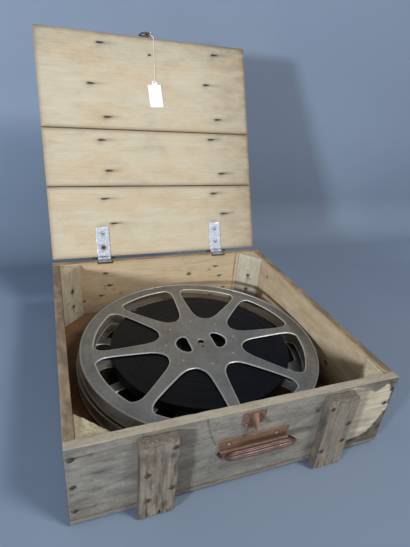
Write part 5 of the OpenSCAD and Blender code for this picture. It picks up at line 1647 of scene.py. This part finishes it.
# clipped corners at the far end
k = np.clip(1 - (v[:, 1] - 380) / 5, 0, 1)
v[:, 0] = CATCH_X + (v[:, 0] - CATCH_X) * (1 - 0.28 * k ** 1.5)
v[:, 2] += 0.0
B.add(v, f, v, (0.3, 0.05, 0, 0))
path = [(420.75, n1 + 6), (420.75, n1 + 8.2)] + arc(421.9, n1 + 8.6 + 0.0, 1.15, 180, 110, 5) + [(423.5, EN - 0.9), (426.2, EN - 0.75)]
path = [(420.75, n1 + 6.0), (420.75, n1 + 8.0), (421.3, EN - 1.2), (422.6, EN - 0.85), (424.6, EN - 1.1), (426.4, EN - 1.9)] + arc(EU, EN, 2.15, 222, 505, 24)
v, f = strip(resample(path, 0.45), 0.62, CATCH_X - 3.4, CATCH_X + 3.4, 7, 0.3)
B.add(v, f, v, (0.3, 0.1, 0, 0))
own(B.done("hasp_strap", M_WIRE, on_lid, sharp=50), "hasp_strap", "lid")

c_, hw_, ln_ = 2.0, 9.8, 29.8
pts = []
for cx, cy, a0 in ((hw_ - c_, c_, -90), (hw_ - c_, ln_ - c_, 0), (-hw_ + c_, ln_ - c_, 90), (-hw_ + c_, c_, 180)):
    pts += arc(cx, cy, c_, a0, a0 + 90, 7)
pts = np.array(pts + [pts[0]])
pts = resample(pts, 1.0)[:-1]
LOOP_A = math.radians(-72)


def on_loop(v):
    v = np.asarray(v, float)
    c, s = math.cos(LOOP_A), math.sin(LOOP_A)
    return np.stack([CATCH_X + v[:, 0], EU + v[:, 1] * c - v[:, 2] * s, EN + v[:, 1] * s + v[:, 2] * c], 1)


p3 = np.stack([pts[:, 0], pts[:, 1], 0.16 * fbm(pts[:, 0] / 6, pts[:, 1] / 6, 0, 5, 2)], 1)
v, f = tube(p3, 1.27, 14, ref=(0, 0, 1), closed=True)
B = Build()
B.add(on_loop(v), f, v)
own(B.done("hasp_loop", M_WIRE, on_lid), "hasp_loop", "hasp_loop")


# ------------------------------------------------------------ tag
def tag_place(v):
    v = rot(v, "Z", 4)
    return on_lid(v + vec(6, 310, LID_N + 0.15))


ear = [(1.3 + 5.6 * math.cos(t), 24 + 5.6 * math.sin(t)) for t in np.radians(np.linspace(206.5, -26.5, 34))]
lp = np.array([(-13.5, -20), (-13.5, 0), (-13.5, 20.6), (-13.2, 21.3), (-12.6, 21.5), (-8, 21.5)] + ear
              + [(9, 21.5), (12.6, 21.5), (13.2, 21.3), (13.5, 20.6), (13.5, 0), (13.5, -20), (11.5, -21.8), (0, -21.8), (-11.5, -21.8)])
lp = resample(np.concatenate([lp, lp[:1]]), 0.9)[:-1]
v, f = plate(lp, [circle(1.3, 26.3, 1.6, 22)], 0.34, 1.1,
             top=lambda x, y: 0.05 + 0.5 * np.clip((np.abs(x) - 2) / 11.5, 0, 1) ** 2 * (0.5 + 0.5 * np.sin(y / 16 + 1)) + 0.55 * np.clip((-y - 4) / 18, 0, 1) ** 2
             + 0.06 * fbm(x / 7, y / 7, 0, 3, 2), soft=0.08)
M_HOLE = M_CARD
tag = add_mesh("tag_card", tag_place(v), f, M_CARD, {"loc": v * MM, "ma": np.zeros((len(v), 4))}, sharp=50)
own(tag, "tag_card", "lid")

WAY = [(4.9, 425.4, -1.7), (7, 423, -1.2), (8.6, 421, -0.85), (8.9, 417, -0.82), (8.4, 400, -0.75), (7.8, 380, -0.65),
       (7, 362, -0.65), (6.3, 350, -0.6), (5.8, 344, -0.3), (5.6, 340, -0.15), (5.5, 337.5, -0.4), (5.5, 336.4, -1.2)]
turn = [(4.6 - 1.2 + 1.2 * (a + 200) / 275, EU + 2.35 * math.cos(math.radians(a)), EN + 2.35 * math.sin(math.radians(a))) for a in range(-200, 76, 12)]


def smooth_way(p, times=2):
    p = np.asarray(p, float)
    for _ in range(times):
        q = 0.75 * p[:-1] + 0.25 * p[1:]
        r = 0.25 * p[:-1] + 0.75 * p[1:]
        p = np.concatenate([p[:1], np.stack([q, r], 1).reshape(-1, 3), p[-1:]])
    return p


way = resample(smooth_way(turn + WAY, 1), 0.55)
n_ = 12
t = np.gradient(way, axis=0)
t /= np.linalg.norm(t, axis=1)[:, None]
a_ = vec(1, 0.1, 0.05)
rings = []
ang = np.arange(n_) * 2 * math.pi / n_
for i in range(len(way)):
    a_ = a_ - t[i] * (a_ @ t[i])
    a_ /= np.linalg.norm(a_)
    b_ = np.cross(t[i], a_)
    r = 0.67 * (1 + 0.10 * np.cos(2 * ang - i * 0.5))
    rings.append(way[i] + r[:, None] * (np.cos(ang)[:, None] * a_ + np.sin(ang)[:, None] * b_))
v, f = rings_mesh(rings)
string = add_mesh("tag_string", on_lid(v), f, M_COTTON, {"loc": v * MM, "ma": np.zeros((len(v), 4))}, sharp=None)
own(string, "tag_string", "lid")
# the knot in front of the card's hole
kt = np.linspace(0, 2 * math.pi, 60, endpoint=False)
kp = np.stack([5.5 + 1.3 * (np.cos(2 * kt) * (1 + 0.45 * np.cos(3 * kt))) * 0.62, 338.8 + 1.5 * (np.sin(2 * kt) * (1 + 0.45 * np.cos(3 * kt))) * 0.62,
               0.1 + 0.5 * np.sin(3 * kt)], 1)
v, f = tube(kp, 0.55, 9, closed=True)
knot = add_mesh("tag_knot", on_lid(v), f, M_COTTON, {"loc": v * MM, "ma": np.zeros((len(v), 4))}, sharp=None)
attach(knot, "lid")
line = on_lid(way)


# ------------------------------------------------------------ reels
R_IN, R_OUT, R_REEL, BEAD = 67.0, 168.0, 189.0, 1.6
SPOKE = [(62, 26), (66, 20.8), (70, 17.2), (75, 14.6), (85, 12.2), (100, 11), (120, 9.8), (140, 8.9), (152, 9.1), (159, 11), (165, 15.5), (170, 24)]


def turned(p, deg):
    c, s = math.cos(math.radians(deg)), math.sin(math.radians(deg))
    return np.stack([p[:, 0] * c - p[:, 1] * s, p[:, 0] * s + p[:, 1] * c], 1)


def window(k):
    xs = np.linspace(62, 170, 240)
    ws = np.interp(xs, [q[0] for q in SPOKE], [q[1] for q in SPOKE])
    for _ in range(3):
        ws[2:-2] = (ws[:-4] + ws[1:-3] + ws[2:-2] + ws[3:-1] + ws[4:]) / 5
    rad = np.hypot(xs, ws)
    ok = (rad > R_IN + 0.3) & (rad < R_OUT - 0.3)
    sd = np.stack([xs[ok], ws[ok]], 1)
    a = turned(sd, 45 * k)
    b = turned(sd * vec(1, -1), 45 * (k + 1))[::-1]
    a0, a1 = math.atan2(a[-1, 1], a[-1, 0]), math.atan2(b[0, 1], b[0, 0])
    a1 += 2 * math.pi if a1 < a0 else 0
    o = np.array([(R_OUT * math.cos(t), R_OUT * math.sin(t)) for t in np.linspace(a0, a1, 60)[1:-1]])
    a0, a1 = math.atan2(b[-1, 1], b[-1, 0]), math.atan2(a[0, 1], a[0, 0])
    a1 -= 2 * math.pi if a1 > a0 else 0
    i = np.array([(R_IN * math.cos(t), R_IN * math.sin(t)) for t in np.linspace(a0, a1, 16)[1:-1]])
    lp = np.concatenate([a, o, b, i])
    lp = resample(np.concatenate([lp, lp[:1]]), 1.5)[:-1]
    for _ in range(3):
        lp = (np.roll(lp, 1, 0) + 2 * lp + np.roll(lp, -1, 0)) / 4
    return lp


def finger_hole(s):
    rho, big = 6.0, 21.0
    px, py = rho, math.sqrt((big - rho) ** 2 - rho ** 2)
    t1 = math.atan2(py, px)
    c = [(px + rho * math.cos(t), -py + rho * math.sin(t)) for t in np.linspace(math.pi, 2 * math.pi - t1, 16)]
    c += [(big * math.cos(t), big * math.sin(t)) for t in np.linspace(-t1, t1, 50)]
    c += [(px + rho * math.cos(t), py + rho * math.sin(t)) for t in np.linspace(t1, math.pi, 16)]
    c = np.array(c)
    c[:, 1] *= 0.985
    if s < 0:
        c = (c * vec(-1, 1))[::-1]
    c = c + vec(s * 20.5, -3)
    c = resample(np.concatenate([c, c[:1]]), 1.0)[:-1]
    return turned(c, 1.0)


def drive_hole():
    t = np.radians(np.linspace(-70, 250, 30))
    c = [(4.1 * math.cos(k), 4.1 * math.sin(k)) for k in t]
    return np.array(c + [(-1.4, -4.3), (-1.4, -6.8), (1.4, -6.8), (1.4, -4.3)])


WINDOWS = [window(k) for k in range(8)]
HOLES = [finger_hole(-1), finger_hole(1), drive_hole()]
WELDS = [(57.5 * math.cos(math.radians(45 * k)), 57.5 * math.sin(math.radians(45 * k))) for k in range(8)]


def flange_mesh():
    """one flange at turn 0, bent edges towards -z; returns verts, faces, paint, used four times"""
    step = 2.3 * FINE
    extra = []
    for w in WINDOWS:
        lp = w if area(w) > 0 else w[::-1]
        for d in (0.9, 1.7, 2.7):
            extra.append(inset(lp, -d)[:: 1])
    for w in HOLES[:2]:
        lp = w if area(w) > 0 else w[::-1]
        for d in (0.8, 1.6):
            extra.append(inset(lp, -d))
    for r in (186.2, 184.6, 182.8, 180.8, 175.0, 173.8, 172.6):
        extra.append(circle(0, 0, r, 420))
    extra = np.concatenate(extra)
    cut = {}

    def shape(x, y):
        P = np.stack([x, y], 1)
        d = np.full(len(x), 99.0)
        for w in WINDOWS:
            d = np.minimum(d, loop_dist(P, w))
        e = np.full(len(x), 99.0)
        for w in HOLES[:2]:
            e = np.minimum(e, loop_dist(P, w))
        cut["d"], cut["e"] = d, e
        r = np.hypot(x, y)
        z = -0.95 * np.clip(1 - d / 2.6, 0, 1) ** 1.7 - 0.5 * np.clip(1 - e / 1.9, 0, 1) ** 1.7
        z = z - 0.30 * sstep(r, 172.6, 175.2) - 0.35 * sstep(r, 181, 186.5)
        z = z + 0.10 * fbm(x / 40, y / 40, 0, 3, 2) + 0.05 * fbm(x / 9, y / 9, 0, 5, 2)
        for wx, wy in WELDS:
            q = np.hypot(x - wx, y - wy)
            z = z + 0.28 * np.exp(-(q / 1.5) ** 4) - 0.15 * np.exp(-((q - 2.4) / 0.8) ** 2)
        return z

    for wx, wy in WELDS:
        extra = np.concatenate([extra, circle(wx, wy, 0.7, 6), circle(wx, wy, 1.5, 10), circle(wx, wy, 2.4, 12)])
    gx, gy = np.meshgrid(np.arange(-9, 9.1, 1.2), np.arange(-18, 4, 1.2))
    extra = np.concatenate([extra, np.stack([gx.ravel(), gy.ravel()], 1)])
    v, f = plate(circle(0, 0, R_REEL - BEAD, 420), WINDOWS + HOLES, 0.9, step, top=shape, soft=0.22, extra=extra)
    P = v[:, :2]
    d = np.full(len(v), 99.0)
    for w in WINDOWS + HOLES:
        d = np.minimum(d, loop_dist(P, w))
    r = np.hypot(v[:, 0], v[:, 1])
    paint = np.zeros((len(v), 4))
    # painted highlights: thin bright lines along the edges of the windows and holes, and on the weld dots
    paint[:, 1] = 1.0 * np.exp(-((d - 0.5) / 1.1) ** 2)
    paint[:, 0] = 0.45 * np.exp(-((r - 176) / 8) ** 2) * sstep(fbm(v[:, 0] / 30, v[:, 1] / 30, 0, 7, 3), 0.0, 0.6)
    for wx, wy in WELDS:
        paint[:, 1] += 0.9 * np.exp(-(np.hypot(v[:, 0] - wx, v[:, 1] - wy) / 1.5) ** 4)
    # greasy wear round the spindle hole
    kx, ky = v[:, 0], v[:, 1]
    n = 1.3 * fbm(kx / 3, ky / 3, 0, 9, 3)
    for bx, by, br in ((-3.6, -3.0, 3.0), (3.2, -1.5, 2.8), (0.5, -5.5, 2.6), (-1.6, -14.3, 1.7)):
        paint[:, 2] += 0.95 * sstep(np.hypot(kx - bx, ky - by) + n, br + 0.9, br - 0.4)
    return v, f, np.clip(paint, 0, 1)


FL = flange_mesh()


def reel(tag_, body, cx, cy, z0, turn_):
    def put_at(v, up=1.0, z=0.0):
        w = rot(v, "Z", turn_)
        return np.stack([cx + w[:, 0], cy + w[:, 1], z0 + z + up * w[:, 2]], 1)

    v, f, paint = FL
    bv, bf = lathe([(R_REEL - BEAD + BEAD * math.cos(t), BEAD * math.sin(t)) for t in np.linspace(0, 2 * math.pi, 17)], int(260 / FINE))
    # top flange: bent edges down; lower flange: the same sheet upside down
    B = Build()
    lc = v + vec(0, 0, 0)
    B.add(put_at(v - vec(0, 0, 0.0), 1.0, 21.05), f, lc, paint)
    # the rolled beads carry a painted highlight, stronger on the top flange than on the lower one
    B.add(put_at(bv, 1.0, 21.5), bf, bv, (0.25, 0.25, 0, 0))
    nm = tag_ + "_top_flange"
    own(B.done(nm, M_FLANGE, crate, sharp=35), nm, body)
    B = Build()
    ff = [q[::-1] for q in f]
    B.add(put_at(v, -1.0, 0.95), ff, lc + vec(700, 0, 0) * 0, paint)
    B.add(put_at(bv, 1.0, 0.5), bf, bv, (0.25, 0.1, 0, 0))
    pv, pf = lathe([(4.25, -6.95), (13.2, -6.95), (13.9, -6.3), (13.9, 0.4), (4.25, 0.4), (4.25, -6.95)], 64)
    B.add(put_at(pv), pf, pv, (0.3, 0.1, 0, 0))
    nm = tag_ + "_bottom_flange"
    own(B.done(nm, M_FLANGE, crate, sharp=35), nm, body)
    # hub: cup with openings, drum wall and bushing
    B = Build()
    cup, cf = plate(circle(0, 0, 59.6, 180), [circle(30, -3, 12, 48), circle(-30, -3, 12, 48), circle(0, 0, 4.3, 28)], 1.4, 3.0,
                    top=lambda x, y: 0.08 * fbm(x / 12, y / 12, 0, 11, 2), soft=0.2)
    cup[:, 2] = np.clip(cup[:, 2] + 1.05, 1.02, 2.6)
    B.add(put_at(rot(cup, "Z", 1.0)), cf, cup, (0.5, 0, 0, 0))
    pv, pf = lathe([(58.1, 1.1), (59.9, 1.1), (59.95, 4), (59.95, 18), (59.9, 20.9), (58.1, 20.9), (58.1, 12), (58.1, 1.1)], 120)
    B.add(put_at(pv), pf, pv, (0.4, 0, 0.1, 0))
    pv, pf = lathe([(4.25, 2.45), (13.9, 2.45), (13.9, 6), (13.4, 6.6), (13.4, 20.2), (12.6, 20.95), (4.25, 20.95), (4.25, 12), (4.25, 2.45)], 64)
    B.add(put_at(pv), pf, pv, (0.4, 0, 0.1, 0))
    nm = tag_ + "_hub"
    own(B.done(nm, M_HUB, crate, sharp=35), nm, body)
    # film: a pack of turns whose edges stand unevenly
    rs = np.arange(60.05, 143.0, 0.72 * FINE)
    rng = np.random.default_rng(7 if turn_ < 10 else 8)
    walk = np.cumsum(rng.normal(0, 0.07, len(rs)))
    walk = walk - np.linspace(walk[0], walk[-1], len(rs))
    zt = 18.75 + 0.35 * walk + rng.normal(0, 0.055, len(rs))
    zt = np.clip(zt, 18.1, 19.0)
    prof = [(60.05, 3.1)] + [(r, z) for r, z in zip(rs, zt)] + [(142.95, 18.6), (143.0, 18.0), (143.0, 4.0), (142.9, 3.2)]
    prof += [(r, 3.05 + 0.2 * (i % 2)) for i, r in enumerate(np.arange(140, 61, -3.0))] + [(60.05, 3.1)]
    pv, pf = lathe(prof, int(200 / FINE))
    rr, aa = np.hypot(pv[:, 0], pv[:, 1]), np.arctan2(pv[:, 1], pv[:, 0])
    up_ = pv[:, 2] > 15
    pv[:, 2] += up_ * 0.16 * noise(rr * 0.22, np.cos(aa) * 3 + 5, np.sin(aa) * 3, 4) + up_ * 0.05 * noise(rr * 1.2, aa * 2.0, 0, 6)
    pv[:, 2] = np.clip(pv[:, 2], 3.0, 19.0)
    B = Build()
    B.add(put_at(pv), pf, pv + vec(0, 0, 60 if turn_ > 10 else 0))
    nm = tag_ + "_film"
    own(B.done(nm, M_FILM, crate, sharp=60), nm, body)


reel("lower_reel", "lower_reel", 2.0, 209.0, 14.0, 19.0)
reel("upper_reel", "upper_reel", 7.0, 202.5, 43.0, -1.0)


# ------------------------------------------------------------ floor, backdrop and light
def stage_mat():
    m = new_mat("studio_paper")
    loc = attr("loc")
    a = noise_(scaled(loc, 1.6), 1.0, 4, 0.6)
    b = noise_(scaled(loc, 900.0), 1.0, 2, 0.6)
    x, y, z = split(loc)
    up = smooth(z, 0.02, 0.35)
    low = mix(smooth(a, 0.35, 0.65), srgb(122, 138, 160), srgb(127, 143, 165))
    col = mix(up, low, mix(smooth(a, 0.35, 0.65), srgb(133, 149, 173), srgb(138, 154, 177)))
    return finish_mat(m, col, 0.9, normal=bump_(b, 0.1, 0.0001), spec=0.12)


def sweep_floor():
    prof = [(-3.5, 0.0), (-1.0, 0.0), (0.1, 0.0), (0.36, 0.0)]
    rad = 0.12
    prof += [(0.36 + rad * math.sin(t), rad - rad * math.cos(t)) for t in np.linspace(0, math.pi / 2, 24)[1:]]
    prof += [(0.48, 0.6), (0.48, 1.2), (0.48, 2.6)]
    xs = np.linspace(-3.2, 3.2, 33)
    v = np.array([(x, y, z) for y, z in prof for x in xs])
    f = []
    n = len(xs)
    for i in range(len(prof) - 1):
        for j in range(n - 1):
            f.append([i * n + j, i * n + j + 1, (i + 1) * n + j + 1, (i + 1) * n + j])
    ob = add_mesh("studio_sweep", v, f, stage_mat(), {"loc": v}, sharp=None)
    return ob


sweep_floor()


def light(name, pos, aim, size, power, color=(1, 1, 1), size_y=None):
    l = bpy.data.lights.new(name, "AREA")
    l.energy = power
    l.color = color
    l.shape = "RECTANGLE"
    l.size = size
    l.size_y = size_y or size
    ob = bpy.data.objects.new(name, l)
    ob.location = pos
    ob.rotation_euler = (Vector(aim) - Vector(pos)).to_track_quat("-Z", "Y").to_euler()
    bpy.context.scene.collection.objects.link(ob)
    return ob


light("key_right_front", (1.22, -1.55, 2.5), (0, -0.05, 0.15), 0.6, 49, (1.0, 0.968, 0.93))
light("key_left", (-1.75, -1.22, 0.52), (0.05, 0.1, 0.25), 0.2, 38, (0.88, 0.95, 1.0))
world = bpy.data.worlds.new("studio")
bpy.context.scene.world = world
world.use_nodes = True
bg = world.node_tree.nodes.get("Background") or world.node_tree.nodes.new("ShaderNodeBackground")
bg.inputs[0].default_value = (0.79, 0.73, 0.66, 1)
bg.inputs[1].default_value = 0.35
bpy.context.scene.view_settings.view_transform = "Standard"
bpy.context.scene.view_settings.look = "None"
bpy.context.scene.view_settings.exposure = 0.0
